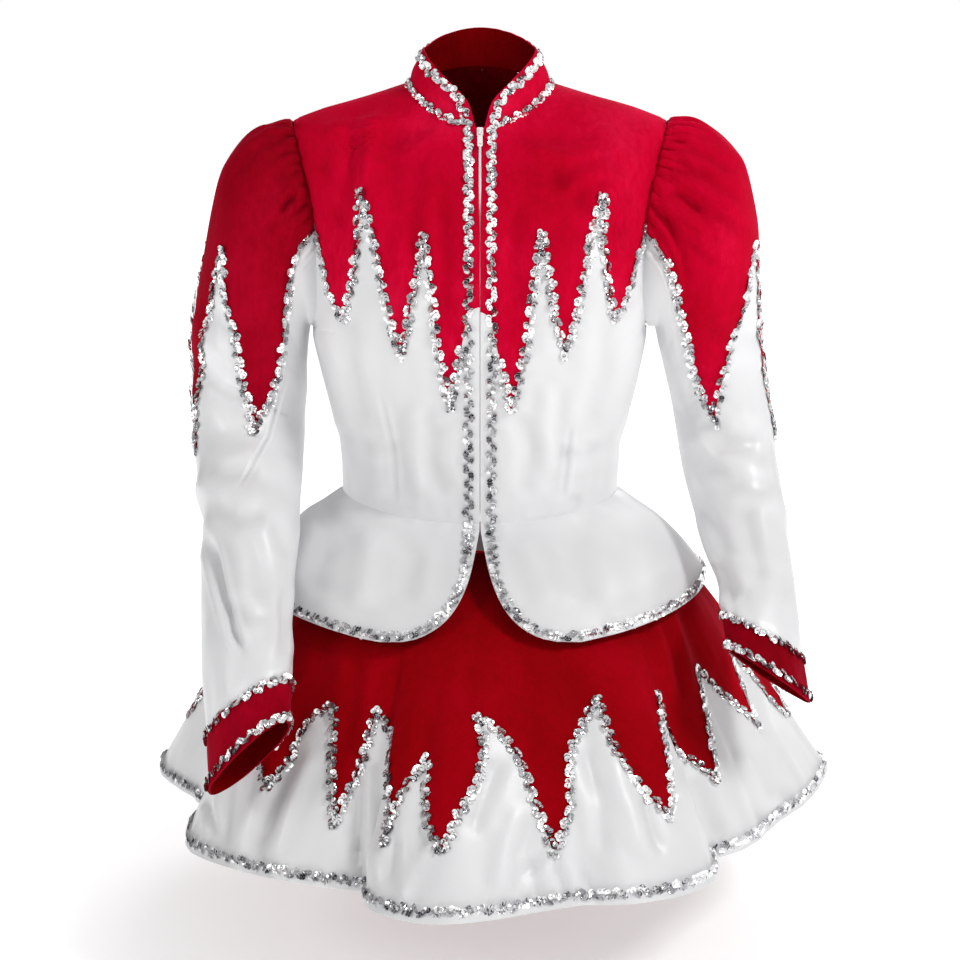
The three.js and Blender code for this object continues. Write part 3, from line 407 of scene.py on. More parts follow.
def skirt_base(deg, s):
    deg, s = np.broadcast_arrays(np.asarray(deg, float), np.asarray(s, float))
    d = np.mod(deg + 180, 360) - 180
    g = np.clip((s - FLARE_START) / (1 - FLARE_START), 0, 1) ** 1.25
    p = skirt_ring(np.radians(d + (F1(d) - d) * g), s)
    f = 1 + (F2(d) / HEM_MEAN - 1) * g
    return p * np.stack([f, f, np.ones_like(f)], -1)


def normal_of(f, u, v, du, dv, sign, vlim=None):
    lo, hi = vlim or (-1e9, 1e9)
    v = np.clip(v, lo + dv, hi - dv)
    return sign * unit(np.cross(f(u + du, v) - f(u - du, v), f(u, v + dv) - f(u, v - dv)))


# ---- cloth surfaces with their creases ---------------------------------------------------------------
class Surface:
    """A base form plus a height in mm along its normal. sign turns the cross product outward."""

    def __init__(self, base, du, dv, height, vlim, center):
        self.base, self.du, self.dv, self.height, self.vlim = base, du, dv, height, vlim
        u0, v0, c = center
        u0, v0 = np.array([float(u0)]), np.array([float(v0)])
        n = normal_of(base, u0, v0, du, dv, 1, vlim)[0]
        self.sign = 1 if (n @ (base(u0, v0)[0] - np.array(c, float))) > 0 else -1

    def __call__(self, u, v):
        u, v = np.broadcast_arrays(np.asarray(u, float), np.asarray(v, float))
        p = self.base(u, v)
        n = normal_of(self.base, u, v, self.du, self.dv, self.sign, self.vlim)
        return p + n * self.height(u, v, p, n)[..., None]

    def normal(self, u, v):
        u, v = np.broadcast_arrays(np.asarray(u, float), np.asarray(v, float))
        return normal_of(self, u, v, self.du, self.dv, self.sign, self.vlim)


def pucker(q, line, seed):
    """Small gathers on both sides of a flame edge, where the seam draws the cloth in."""
    line = line[::3]
    d, t = to_line(q, line)
    length = np.linalg.norm(np.diff(line, axis=0), axis=1).sum()
    side = noise(t * length / 4.6, d / 16, seed) + 0.6 * noise(t * length / 9.5, d / 22, seed + 1)
    return 0.62 * side * np.exp(-((d / 10) ** 2)) - 0.5 * np.exp(-((d / 2.2) ** 2))


def jacket_height(u, v, p, n):
    """Soft strain folds at the waist and shoulder, and the photographed creases and darts."""
    x, y, z = p[..., 0], p[..., 1], p[..., 2]
    around = np.arctan2(x, -y) * 150
    h = creased(p, n, CREASES["jacket"])
    h += 1.1 * noise(around / 46 + z / 90, z / 60, 11) + 0.5 * noise(around / 17, z / 30 + x / 60, 12)
    waist = np.exp(-(((v - 0.03) / 0.1) ** 2))
    h += waist * 0.8 * noise(around / 13, z / 55, 13)
    pit = np.exp(-(((v - 0.6) / 0.12) ** 2)) * smooth((np.abs(x) - 105) / 60)
    h += pit * 1.8 * noise((z - np.abs(x)) / 15, (z + np.abs(x)) / 70, 14)
    back = y > 0
    q = np.stack([np.abs(u) * 200, v * 480], -1)
    for k, mask in (("right", ~back & (x < 0)), ("left", ~back & (x >= 0)), ("back", back)):
        if mask.any():
            h[mask] += pucker(q[mask], PUCKER_JACKET[k], 17)
    for cx, w in ((62, 3.0), (-62, 3.0)):  # the back's darts, as the fronts have
        h -= np.where(back & (v < 0.36), 1.4 * np.exp(-(((x - cx - 10 * v * np.sign(cx)) / w) ** 2)) * smooth((0.36 - v) / 0.08), 0)
    arm = smooth((v - V_PIT) / 0.03) * (1 - smooth((1 - np.abs(u)) / 0.07))  # still along the armhole, where the sleeve joins
    seam = 0.9 * np.exp(-(((1 - np.abs(u)) * 200 / 3.0) ** 2)) * smooth((V_PIT - v) / 0.02)
    return (h - seam) * smooth(v / 0.02) * smooth((1 - v) / 0.015) * (1 - arm)


def sleeve_height(name):
    seed = 30 if name == "right" else 60
    rng = np.random.default_rng(seed)
    edges = [-104.0]
    while edges[-1] < 108:
        edges.append(edges[-1] + rng.uniform(4.2, 8.8))
    edges = np.array(edges)
    mids = (edges[1:] + edges[:-1]) / 2
    over = np.exp(-(((mids - 25) / 70) ** 2))
    reach = 0.62 if name == "right" else 1.0
    lengths = reach * (13 + 12 * rng.random(len(mids)) + 26 * over * rng.random(len(mids)) ** 1.6)
    depths = (3.0 + 2.0 * rng.random(len(mids))) * (0.55 + 0.7 * over) * (0.7 + 0.3 * reach)
    folds = [(at + rng.uniform(-3, 3), length * (0.4 + 0.6 * reach), depth * reach, rng.uniform(-0.1, 0.1))
             for at, length, depth in ((24, 88, 3.2), (46, 70, 3.6), (66, 58, 3.6), (-18, 80, 2.8), (-46, 70, 2.8), (84, 46, 3.0), (5, 60, 2.4))]

    def h(deg, s, p, n):
        d = np.mod(deg + 180, 360) - 180
        m = np.abs(d)
        under = smooth((180 - m) / 25)  # the seam under the arm is left plain
        # gathers: puffs between sharp valleys that run out from the armhole seam
        height = np.zeros(d.shape)
        near = (s < 62) & (m < 103)
        dn, sn = d[near] + 1.2 * noise(s[near] / 9, d[near] / 30, seed + 3), s[near]
        i = np.clip(np.searchsorted(edges, dn) - 1, 0, len(mids) - 1)
        f = np.clip((dn - edges[i]) / (edges[i + 1] - edges[i]), 0, 1)
        height[near] = depths[i] * np.sin(math.pi * f) ** 0.8 * smooth((lengths[i] - sn) / (0.85 * lengths[i])) * smooth((103 - m[near]) / 14)
        near = (s < 130) & (m < 125)
        dn, sn, hn = d[near], s[near], np.zeros(int(near.sum()))
        for at, length, depth, slant in folds:
            off = (dn - at - slant * sn) * (1.1 + 0.006 * sn)
            width = 2.6 + 0.05 * sn
            fade = smooth((length - sn) / (0.8 * length)) * smooth(sn / 6 + 0.2)
            hn += depth * fade * (0.55 * np.exp(-(((np.abs(off) - 2.0 * width) / (1.1 * width)) ** 2)) - np.exp(-((off / width) ** 2)))
        height[near] += hn
        full = smooth((118 - m) / 40)
        height = height + full * 1.8 * noise(d / 15, s / 70, seed + 4) * np.exp(-(((s - 55) / 60) ** 2))
        # folds where the arm bends, slanting round the tube
        bend = np.exp(-(((s - 330) / 105) ** 2))
        height = height + bend * under * 2.8 * noise((d + 0.34 * s) / 46, s / 30, seed + 5)
        height = height + under * smooth(s / 60) * (1.6 * noise(d / 60 + s / 160, s / 85, seed + 6) + 0.6 * noise(d / 24, s / 28, seed + 7))
        cuff = CUFF_AT[name]
        draw = np.exp(-(((s - cuff) / 36) ** 2))
        height = height + draw * under * 1.6 * noise(d / 14, s / 60, seed + 8)
        height = height + creased(p, n, CREASES["sleeve_" + name])
        height = height + pucker(np.stack([deg * 1.25, s], -1), PUCKER_SLEEVE[name], seed + 9)
        # seam lines where the cuff joins
        height = height - 1.3 * np.exp(-(((s - cuff) / 2.6) ** 2))
        return (height - 0.8 * np.exp(-((s / 3.2) ** 2))) * smooth(s / 3)
    return h


def skirt_height(deg, s, p, n):
    d = np.mod(deg + 180, 360) - 180
    k = smooth((s - 0.04) / 0.3)
    hangs = noise(d / 9.5, s * 1.3, 81, None)
    h = k * (3.2 * hangs * smooth(s - 0.1) + 2.6 * noise(d / 4.2, s * 1.3, 82) + 0.8 * noise(d / 7 + s * 3, s * 7, 83))
    h += smooth((s - 0.78) / 0.2) * 1.2 * noise(d / 3.1, s * 2, 84)  # hem
    h += creased(p, n, CREASES["skirt"])
    q = np.stack([d * 5.2, s * 400], -1)
    front = np.abs(d) <= 90
    for k, mask in (("front", front), ("back", ~front)):
        if mask.any():
            h[mask] += pucker(np.stack([(np.mod(d[mask], 360) if k == "back" else d[mask]) * 5.2, s[mask] * 400], -1), PUCKER_SKIRT[k], 85)
    back = smooth((np.abs(d) - 92) / 6)  # creases on the hidden half, as uneven as the front's
    for a, w, depth in ((104, 1.3, 3.4), (119, 1.7, 2.8), (137, 1.2, 3.6), (156, 1.8, 2.6), (171, 1.3, 3.2),
                        (-166, 1.5, 3.0), (-151, 1.2, 3.6), (-132, 1.8, 2.6), (-115, 1.3, 3.3), (-100, 1.6, 2.8)):
        off = d - a - 3 * np.sin(s * 5 + a)
        h -= back * depth * np.exp(-((off / w) ** 2)) * smooth((s - 0.42) / 0.25)
    return h * smooth(s / 0.03 + 0.1)


def peplum_height(t, s, p, n):
    x, y = p[..., 0], p[..., 1]
    d = np.degrees(np.arctan2(x, -y))
    k = smooth((s - 0.05) / 0.5)
    h = k * (1.9 * noise(d / 15, s * 1.2, 91) + 1.0 * noise(d / 6.3, s * 2.4, 92)) + smooth((0.3 - s) / 0.3) * 0.9 * noise(d / 5, s * 3, 93)
    h += creased(p, n, CREASES["peplum"]) * smooth(s / 0.3)
    return (h - 0.9 * np.exp(-((s * 130 / 2.6) ** 2))) * smooth(s / 0.03)


def collar_height(t, s, p, n):
    d = np.degrees(np.arctan2(p[..., 0], -p[..., 1]))
    return (0.9 * noise(d / 22, s * 1.2, 95) + 0.4 * noise(d / 8, s * 2, 96)) * smooth(s / 0.12) * smooth((180 - np.abs(d)) / 20)


def flat_height(u, v, p, n):
    return 0.3 * noise(u * 9, v * 2, 97)


peplum_ring, collar_ring, waist_ring = ring_of(PEPLUM), ring_of(COLLAR), ring_of(WAISTBAND)
peplum_edge, collar_edge = Curve(PEPLUM_EDGE, 1), Curve(COLLAR_EDGE, 1)


def peplum_base(a, s):
    """The peplum's band, joined to the jacket's waist without a step."""
    return peplum_ring(a, s) + (torso(a, np.zeros_like(a)) - peplum_ring(a, np.zeros_like(a))) * smooth(1 - s / 0.16)[..., None]


def edged(ring, edge, side):
    """A band's front piece: t from the front edge (0) to the side or centre back (1)."""
    far = 90 if ring is peplum_base else 180

    def f(t, s):
        s = np.asarray(s, float)
        a, s = np.broadcast_arrays(side * (edge(s) * (1 - t) + far * t), s)
        return ring(np.radians(a), s)
    return f


SIDE = {"right": -1, "left": 1}
front_inner, back_inner = 90 - ARM_FRONT, 90 - ARM_BACK
FRONT_LINE = {k: curve_through([[p[0] / front_inner, *p[1:]] for p in FLAME_FRONT[k]], 0.01) for k in SIDE}
half = curve_through([[p[0] / back_inner, *p[1:]] for p in FLAME_BACK], 0.01)
BACK_LINE = np.vstack([half[::-1] * [-1, 1], half[1:]])
SLEEVE_LINE = {k: curve_through(FLAME_SLEEVE[k], 1) for k in SIDE}
SKIRT_LINE = {"front": curve_through(FLAME_SKIRT, 1), "back": curve_through(FLAME_SKIRT_BACK, 1)}
PUCKER_JACKET = {"right": FRONT_LINE["right"] * [200, 480], "left": FRONT_LINE["left"] * [200, 480], "back": half * [200, 480]}
PUCKER_SLEEVE = {k: SLEEVE_LINE[k] * [1.25, 1] for k in SIDE}
PUCKER_SKIRT = {k: SKIRT_LINE[k] * [5.2, 400] for k in ("front", "back")}
jacket_front = {k: Surface(front_base(SIDE[k]), 0.004, 0.002, jacket_height, (0, 1), (0.5, 0.3, (0, 0, -250))) for k in SIDE}
jacket_back = Surface(back_base, 0.004, 0.002, jacket_height, (0, 1), (0.3, 0.3, (0, 0, -250)))
sleeve_end, sleeve = {}, {}
for k in SIDE:
    base, sleeve_end[k] = sleeve_base(k)
    sleeve[k] = Surface(base, 0.6, 1.0, sleeve_height(k), (0, sleeve_end[k]), (0, 200, (SIDE[k] * 232, 0, -230)))
skirt = Surface(skirt_base, 0.25, 0.003, skirt_height, (0, 1), (0, 0.5, (0, 0, -560)))
peplum_front = {k: Surface(edged(peplum_base, peplum_edge, SIDE[k]), 0.004, 0.006, peplum_height, (0, 1), (0.5, 0.5, (0, 0, -470))) for k in SIDE}
peplum_back = Surface(lambda t, s: peplum_base(*np.broadcast_arrays(np.radians(90 + 180 * np.asarray(t)), s)), 0.004, 0.006, peplum_height, (0, 1), (0.5, 0.5, (0, 0, -470)))
collar = {k: Surface(edged(collar_ring, collar_edge, SIDE[k]), 0.003, 0.01, collar_height, (0, 1), (0.5, 0.5, (0, 0, 10))) for k in SIDE}
waistband = Surface(lambda t, s: waist_ring(2 * math.pi * np.asarray(t), s), 0.002, 0.02, flat_height, (0, 1), (0.1, 0.5, (0, 0, -440)))


# ---- mesh making -----------------------------------------------------------------------------------
def new_mesh(name, points, faces, sizes, mats, index=None, sharp=None):
    me = bpy.data.meshes.new(name)
    me.vertices.add(len(points))
    me.vertices.foreach_set("co", (np.asarray(points) * MM).astype(np.float32).ravel())
    me.loops.add(len(faces))
    me.loops.foreach_set("vertex_index", np.asarray(faces, np.int32))
    me.polygons.add(len(sizes))
    start = np.concatenate([[0], np.cumsum(sizes)[:-1]]).astype(np.int32)
    me.polygons.foreach_set("loop_start", start)
    for m in mats:
        me.materials.append(m)
    if index is not None:
        me.polygons.foreach_set("material_index", np.asarray(index, np.int32))
    me.polygons.foreach_set("use_smooth", np.ones(len(sizes), bool))
    me.update(calc_edges=True)
    me.validate()
    if sharp:
        me.set_sharp_from_angle(angle=math.radians(sharp))
    ob = bpy.data.objects.new(name, me)
    bpy.context.scene.collection.objects.link(ob)
    return ob


AREAS = {}


def shell(name, points, normals, tris, mats, thick=CLOTH):
    """Closed cloth: the outer triangles, the same ones set in, and a rim round every open edge."""
    used, tris = np.unique(tris, return_inverse=True)
    tris = tris.reshape(-1, 3)
    points, normals = points[used], normals[used]
    a, b, c = points[tris[:, 0]], points[tris[:, 1]], points[tris[:, 2]]
    cross = np.cross(b - a, c - a)
    keep = np.linalg.norm(cross, axis=1) > 1e-7
    if ((cross * normals[tris[:, 0]]).sum(1)[keep] < 0).mean() > 0.5:
        tris = tris[:, ::-1]
    tris = tris[keep]
    AREAS[name] = float(np.linalg.norm(cross[keep], axis=1).sum() / 2 / 1e6)
    n = len(points)
    inner = points - normals * thick
    e = np.concatenate([tris[:, [0, 1]], tris[:, [1, 2]], tris[:, [2, 0]]])
    key = np.sort(e, axis=1)
    _, inv, count = np.unique(key, axis=0, return_inverse=True, return_counts=True)
    rim = e[count[inv.ravel()] == 1]
    quads = np.stack([rim[:, 1], rim[:, 0], rim[:, 0] + n, rim[:, 1] + n], 1)
    faces = np.concatenate([tris.ravel(), (tris[:, ::-1] + n).ravel(), quads.ravel()])
    sizes = np.concatenate([np.full(2 * len(tris), 3), np.full(len(quads), 4)])
    index = np.concatenate([np.zeros(len(tris)), np.ones(len(tris)), np.zeros(len(quads))])
    ob = new_mesh(name, np.vstack([points, inner]), faces, sizes, mats, index, sharp=52)
    # how deep each point lies in a crease (plus) or on a ridge (minus): the materials paint shade into the creases and
    # a highlight onto the ridges from it
    pair = np.unique(key, axis=0)
    i, j = np.concatenate([pair[:, 0], pair[:, 1]]), np.concatenate([pair[:, 1], pair[:, 0]])
    many = np.maximum(np.bincount(i, minlength=n), 1)
    mean = np.stack([np.bincount(i, points[j, a], n) for a in range(3)], 1) / many[:, None]
    edge = np.bincount(i, np.linalg.norm(points[i] - points[j], axis=1), n) / many
    fold_shade = ((mean - points) * normals).sum(1) / np.maximum(edge, 0.3) ** 2 * 2.0
    fold_shade[np.unique(rim)] = 0
    for _ in range(2):
        fold_shade = 0.5 * fold_shade + 0.5 * np.bincount(i, fold_shade[j], n) / many
    fold_shade -= np.median(fold_shade)
    at = ob.data.attributes.new("fold_shade", "FLOAT", "POINT")
    at.data.foreach_set("value", np.clip(np.concatenate([fold_shade, fold_shade]), -0.5, 0.5).astype(np.float32))
    return ob


def grid(us, vs, closed=False):
    """Parameters and triangles of a regular grid. When closed, us has no repeated end."""
    U, V = np.meshgrid(us, vs)
    nj, ni = U.shape
    i = np.arange(ni if closed else ni - 1)
    j = np.arange(nj - 1)
    I, J = np.meshgrid(i, j)
    a, b = J * ni + I, J * ni + (I + 1) % ni
    c, d = b + ni, a + ni
    flip = ((I + J) % 2 == 0).ravel()
    t1 = np.where(flip[:, None], np.stack([a, b, c], -1).reshape(-1, 3), np.stack([a, b, d], -1).reshape(-1, 3))
    t2 = np.where(flip[:, None], np.stack([a, c, d], -1).reshape(-1, 3), np.stack([b, c, d], -1).reshape(-1, 3))
    return U.ravel(), V.ravel(), np.concatenate([t1, t2])


def cut(U, V, tris, line, ku, kv, down, near=None):
    """Splits a grid along a line of (u, v). down is +1 when v grows downward. Returns parameters and the triangles above and below."""
    q = np.stack([U * ku, V * kv], 1)
    L = line * [ku, kv]
    dist, _ = to_line(q, L)
    x, y = U + 1.7e-7, V * down
    odd = np.zeros(len(U), int)
    for (x0, y0), (x1, y1) in zip(line[:-1] * [1, down], line[1:] * [1, down]):
        if x0 == x1:
            continue
        cross = (x0 > x) != (x1 > x)
        odd += cross & (y0 + (x - x0) / (x1 - x0) * (y1 - y0) < y)
    F = np.where(odd % 2 == 1, -dist, dist)  # above the line is plus
    F = np.where(np.abs(F) < 0.03, np.where(F < 0, -0.03, 0.03), F)
    s = F > 0
    up, low, mixed = [tris[s[tris].all(1)]], [tris[(~s[tris]).all(1)]], tris[s[tris].any(1) & ~s[tris].all(1)]
    e = np.concatenate([mixed[:, [0, 1]], mixed[:, [1, 2]], mixed[:, [2, 0]]])
    e = np.sort(e[s[e[:, 0]] != s[e[:, 1]]], axis=1)
    e = np.unique(e, axis=0)
    t = F[e[:, 0]] / (F[e[:, 0]] - F[e[:, 1]])
    n = len(U)
    U2 = np.concatenate([U, U[e[:, 0]] * (1 - t) + U[e[:, 1]] * t])
    V2 = np.concatenate([V, V[e[:, 0]] * (1 - t) + V[e[:, 1]] * t])
    index = {(int(a), int(b)): n + k for k, (a, b) in enumerate(e)}
    mid = lambda a, b: index[(min(a, b), max(a, b))]
    more_up, more_low = [], []
    for tri in mixed.tolist():
        pos = [k for k in range(3) if s[tri[k]]]
        single = pos[0] if len(pos) == 1 else next(k for k in range(3) if k not in pos)
        a, b, c = tri[single], tri[(single + 1) % 3], tri[(single + 2) % 3]
        ab, ac = mid(a, b), mid(a, c)
        one, two = [[a, ab, ac]], [[ab, b, c], [ab, c, ac]]
        (more_up if len(pos) == 1 else more_low).extend(one)
        (more_low if len(pos) == 1 else more_up).extend(two)
    z = np.zeros((0, 3), int)
    return U2, V2, np.concatenate(up + [np.array(more_up, int) if more_up else z]), np.concatenate(low + [np.array(more_low, int) if more_low else z])


# ---- materials ---------------------------------------------------------------------------------------
def material(name, **values):
    m = bpy.data.materials.new(name)
    m.use_nodes = True
    nt = m.node_tree
    b = nt.nodes["Principled BSDF"]
    for k, v in values.items():
        b.inputs[k.replace("_", " ")].default_value = v
    co = nt.nodes.new("ShaderNodeTexCoord").outputs["Object"]
    return m, nt, b, co


def tex_noise(nt, co, scale, detail=3.0, rough=0.55, stretch=None):
    if stretch:
        mp = nt.nodes.new("ShaderNodeMapping")
        mp.inputs["Scale"].default_value = stretch
        nt.links.new(co, mp.inputs["Vector"])
        co = mp.outputs["Vector"]
    n = nt.nodes.new("ShaderNodeTexNoise")
    n.inputs["Scale"].default_value = scale
    n.inputs["Detail"].default_value = detail
    n.inputs["Roughness"].default_value = rough
    nt.links.new(co, n.inputs["Vector"])
    return n.outputs["Fac"]


def math_node(nt, op, a, b):
    n = nt.nodes.new("ShaderNodeMath")
    n.operation = op
    for k, x in enumerate((a, b)):
        if isinstance(x, (int, float)):
            n.inputs[k].default_value = x
        else:
            nt.links.new(x, n.inputs[k])
    return n.outputs[0]


def ramp(nt, fac, stops, how="LINEAR"):
    r = nt.nodes.new("ShaderNodeValToRGB")
    r.color_ramp.interpolation = how
    while len(r.color_ramp.elements) < len(stops):
        r.color_ramp.elements.new(0.5)
    for e, (p, c) in zip(r.color_ramp.elements, stops):
        e.position, e.color = p, (*c, 1) if len(c) == 3 else c
    nt.links.new(fac, r.inputs["Fac"])
    return r.outputs["Color"]


def paint_fold_shade(nt, b, color, gain, dark, light):
    """Base colour with painted shade in the folds and a painted highlight on the ridges of the cloth."""
    a = nt.nodes.new("ShaderNodeAttribute")
    a.attribute_name = "fold_shade"
    fac = math_node(nt, "SUBTRACT", 0.5, math_node(nt, "MULTIPLY", a.outputs["Fac"], gain))
    mix = nt.nodes.new("ShaderNodeMix")
    mix.data_type, mix.blend_type = "RGBA", "MULTIPLY"
    mix.inputs[0].default_value = 1.0
    nt.links.new(color, mix.inputs[6])
    nt.links.new(ramp(nt, fac, [(0.0, (dark, dark, dark)), (0.5, (1, 1, 1)), (1.0, (light, light, light))], "B_SPLINE"), mix.inputs[7])
    nt.links.new(mix.outputs[2], b.inputs["Base Color"])


def bump(nt, b, layers):
    last = None
    for height, strength, distance in layers:
        n = nt.nodes.new("ShaderNodeBump")
        n.inputs["Strength"].default_value = strength
        n.inputs["Distance"].default_value = distance
        nt.links.new(height, n.inputs["Height"])
        if last is not None:
            nt.links.new(last, n.inputs["Normal"])
        last = n.outputs["Normal"]
    nt.links.new(last, b.inputs["Normal"])


def velvet(name, low, mid, high, sheen, rough=0.82):
    m, nt, b, co = material(name, Sheen_Weight=sheen, Sheen_Roughness=0.36, Sheen_Tint=(1.0, 0.03, 0.15, 1), Specular_IOR_Level=0.03)
    big, nap, pile = tex_noise(nt, co, 9, 3, 0.5, (1, 1, 0.6)), tex_noise(nt, co, 170, 3, 0.6, (1, 1, 0.45)), tex_noise(nt, co, 1400, 2, 0.5)
    fac = math_node(nt, "ADD", math_node(nt, "MULTIPLY", big, 0.66), math_node(nt, "ADD", math_node(nt, "MULTIPLY", nap, 0.2), math_node(nt, "MULTIPLY", pile, 0.14)))
    # painted shade in the creases and painted highlight on the ridges
    paint_fold_shade(nt, b, ramp(nt, fac, [(0.36, low), (0.5, mid), (0.64, high)]), 2.2, 0.5, 1.5)
    nt.links.new(math_node(nt, "ADD", math_node(nt, "MULTIPLY", nap, 0.16), rough - 0.08), b.inputs["Roughness"])
    bump(nt, b, [(nap, 0.28, 0.0009), (pile, 0.4, 0.0004)])
    return m


def satin(name, low, high, rough, weave=0.12):
    m, nt, b, co = material(name, Sheen_Weight=0.12, Sheen_Roughness=0.4, Specular_IOR_Level=0.5, Anisotropic=0.3)
    big, soft = tex_noise(nt, co, 12, 2, 0.4), tex_noise(nt, co, 19, 2, 0.45, (1, 1, 0.55))
    threads = tex_noise(nt, co, 1500, 2, 0.5, (1, 1, 0.12))
    # painted shade in the creases and painted highlight on the ridges
    paint_fold_shade(nt, b, ramp(nt, math_node(nt, "ADD", math_node(nt, "MULTIPLY", big, 0.7), math_node(nt, "MULTIPLY", threads, 0.3)), [(0.12, low), (0.88, high)]), 2.6, 0.5, 1.16)
    nt.links.new(math_node(nt, "ADD", math_node(nt, "MULTIPLY", soft, 0.16), rough - 0.08), b.inputs["Roughness"])
    bump(nt, b, [(soft, 0.3, 0.003), (threads, weave, 0.0003)])
    return m


VELVET = velvet("velvet", (0.43, 0.0, 0.011), (0.55, 0.0, 0.023), (0.70, 0.005, 0.045), 0.28)
# a darker copy of the velvet: painted shade for the wearer's right sleeve head and the cuffs
VELVET_PAINTED_SHADE = velvet("velvet_shaded_nap", (0.21, 0.0, 0.004), (0.30, 0.0, 0.009), (0.42, 0.001, 0.018), 0.2)
# a darker copy of the velvet: painted shade for the skirt
VELVET_SKIRT_PAINTED_SHADE = velvet("velvet_skirt", (0.23, 0.0, 0.001), (0.31, 0.0, 0.003), (0.39, 0.0, 0.007), 0.18)
VELVET_BACK = velvet("velvet_reverse", (0.14, 0.0, 0.001), (0.2, 0.0, 0.001), (0.26, 0.0, 0.003), 0.04, 0.9)
SATIN = satin("satin", (0.765, 0.767, 0.777), (0.845, 0.848, 0.855), 0.37)
SATIN_BACK = satin("satin_reverse", (0.64, 0.65, 0.66), (0.70, 0.71, 0.715), 0.62, 0.2)
BAND = satin("band_cloth", (0.60, 0.56, 0.585), (0.70, 0.665, 0.69), 0.8, 0.4)
TAPE = velvet("zip_tape_cloth", (0.34, 0.0, 0.01), (0.42, 0.0, 0.016), (0.5, 0.002, 0.024), 0.1)


def sequin_material():
    m, nt, b, co = material("sequin_silver", Metallic=0.96, Specular_IOR_Level=0.6)
    a = nt.nodes.new("ShaderNodeAttribute")
    a.attribute_name = "tone"
    tone = a.outputs["Fac"]
    nt.links.new(ramp(nt, tone, [(0.0, (0.36, 0.36, 0.38)), (0.45, (0.64, 0.64, 0.65)), (1.0, (0.95, 0.95, 0.95))]), b.inputs["Base Color"])
    fine = tex_noise(nt, co, 900, 2, 0.5)
    nt.links.new(math_node(nt, "ADD", math_node(nt, "MULTIPLY", fine, 0.12), math_node(nt, "ADD", math_node(nt, "MULTIPLY", tone, 0.1), 0.08)), b.inputs["Roughness"])
    bump(nt, b, [(fine, 0.18, 0.0003)])
    return m


def hard_material(name, low, high, rough, metallic=0.0, coat=0.0):
    m, nt, b, co = material(name, Metallic=metallic, Coat_Weight=coat)
    big, fine = tex_noise(nt, co, 90, 3, 0.6), tex_noise(nt, co, 1200, 3, 0.6)
    nt.links.new(ramp(nt, big, [(0.35, low), (0.65, high)]), b.inputs["Base Color"])
    nt.links.new(math_node(nt, "ADD", math_node(nt, "MULTIPLY", fine, 0.16), rough - 0.08), b.inputs["Roughness"])
    bump(nt, b, [(fine, 0.12, 0.0002)])
    return m


SEQUIN = sequin_material()
ENAMEL = hard_material("zip_enamel", (0.80, 0.80, 0.79), (0.88, 0.88, 0.87), 0.3, 0.0, 0.3)
COIL = hard_material("zip_coil_nylon", (0.84, 0.84, 0.83), (0.92, 0.92, 0.91), 0.45)

BODY = "garment"


def wear(ob, node=None):
    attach(ob, BODY)
    if node:
        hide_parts(node)
    return ob


# ---- cloth pieces --------------------------------------------------------------------------------------
def piece(node, surface, U, V, tris, slot, thick=CLOTH, turned=None):
    # the skirt, the wearer's right sleeve head and the cuffs take darker copies of the one velvet: painted shade
    front = {"skirt_velvet_front": VELVET_SKIRT_PAINTED_SHADE, "skirt_velvet_back": VELVET_SKIRT_PAINTED_SHADE, "sleeve_cap_right": VELVET_PAINTED_SHADE, "cuff_right": VELVET_PAINTED_SHADE,
             "cuff_left": VELVET_PAINTED_SHADE}.get(node, VELVET)
    mats = {"velvet": [front, VELVET_BACK], "satin": [SATIN, SATIN_BACK], "band": [BAND, BAND]}[slot]
    N = surface.normal(U, V)
    ob = shell(node + "_cloth", surface(U, V), turned(U, V, N) if turned else N, tris, mats, thick)
    wear(ob, node)
    if node.startswith("sleeve_lower"):
        for other in ("elbow", "forearm"):
            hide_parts(node.replace("lower", other))
    return ob


def neck_normal(theta):
    """Shared by collar and jacket along the neck seam, so that their inner faces meet."""
    t, one = np.asarray(theta, float), np.ones(np.shape(theta))
    a = unit(normal_of(torso, t, one, 0.01, 0.002, 1, (0, 1)) * -1)
    b = unit(np.stack([np.sin(t) / 72, -np.cos(t) / 60, np.zeros_like(t)], -1))
    a = np.where((a * b).sum(-1, keepdims=True) < 0, -a, a)
    return unit(a + b)


def jacket_turned(back, side=1):
    def f(U, V, N):
        theta = math.pi - np.sign(U) * spread(np.abs(U), V, True) if back else side * spread(U, V, False)
        w = smooth((V - 0.978) / 0.022)[..., None]
        return unit(N * (1 - w) + neck_normal(theta) * w)
    return f


def collar_turned(side):
    def f(U, V, N):
        theta = np.radians(side * (collar_edge(V) * (1 - U) + 180 * U))
        w = smooth(1 - V / 0.2)[..., None]
        return unit(N * (1 - w) + neck_normal(theta) * w)
    return f


CLOTHS = {}
for k in SIDE:
    us = np.linspace(0, 1, 62)
    vs = np.linspace(0, 1, 132)
    U, V, tris = grid(us, vs)
    line = FRONT_LINE[k].copy()
    line[0, 0], line[-1, 0] = -0.02, 1.02
    U, V, up, low = cut(U, V, tris, line, 200, 480, -1)
    CLOTHS[f"yoke_front_{k}"] = piece(f"yoke_front_{k}", jacket_front[k], U, V, up, "velvet", turned=jacket_turned(False, SIDE[k]))
    CLOTHS[f"body_front_{k}"] = piece(f"body_front_{k}", jacket_front[k], U, V, low, "satin")

U, V, tris = grid(np.linspace(-1, 1, 117), np.linspace(0, 1, 126))
U, V, up, low = cut(U, V, tris, BACK_LINE, 190, 480, -1)
CLOTHS["yoke_back"] = piece("yoke_back", jacket_back, U, V, up, "velvet", turned=jacket_turned(True))
CLOTHS["body_back"] = piece("body_back", jacket_back, U, V, low, "satin")

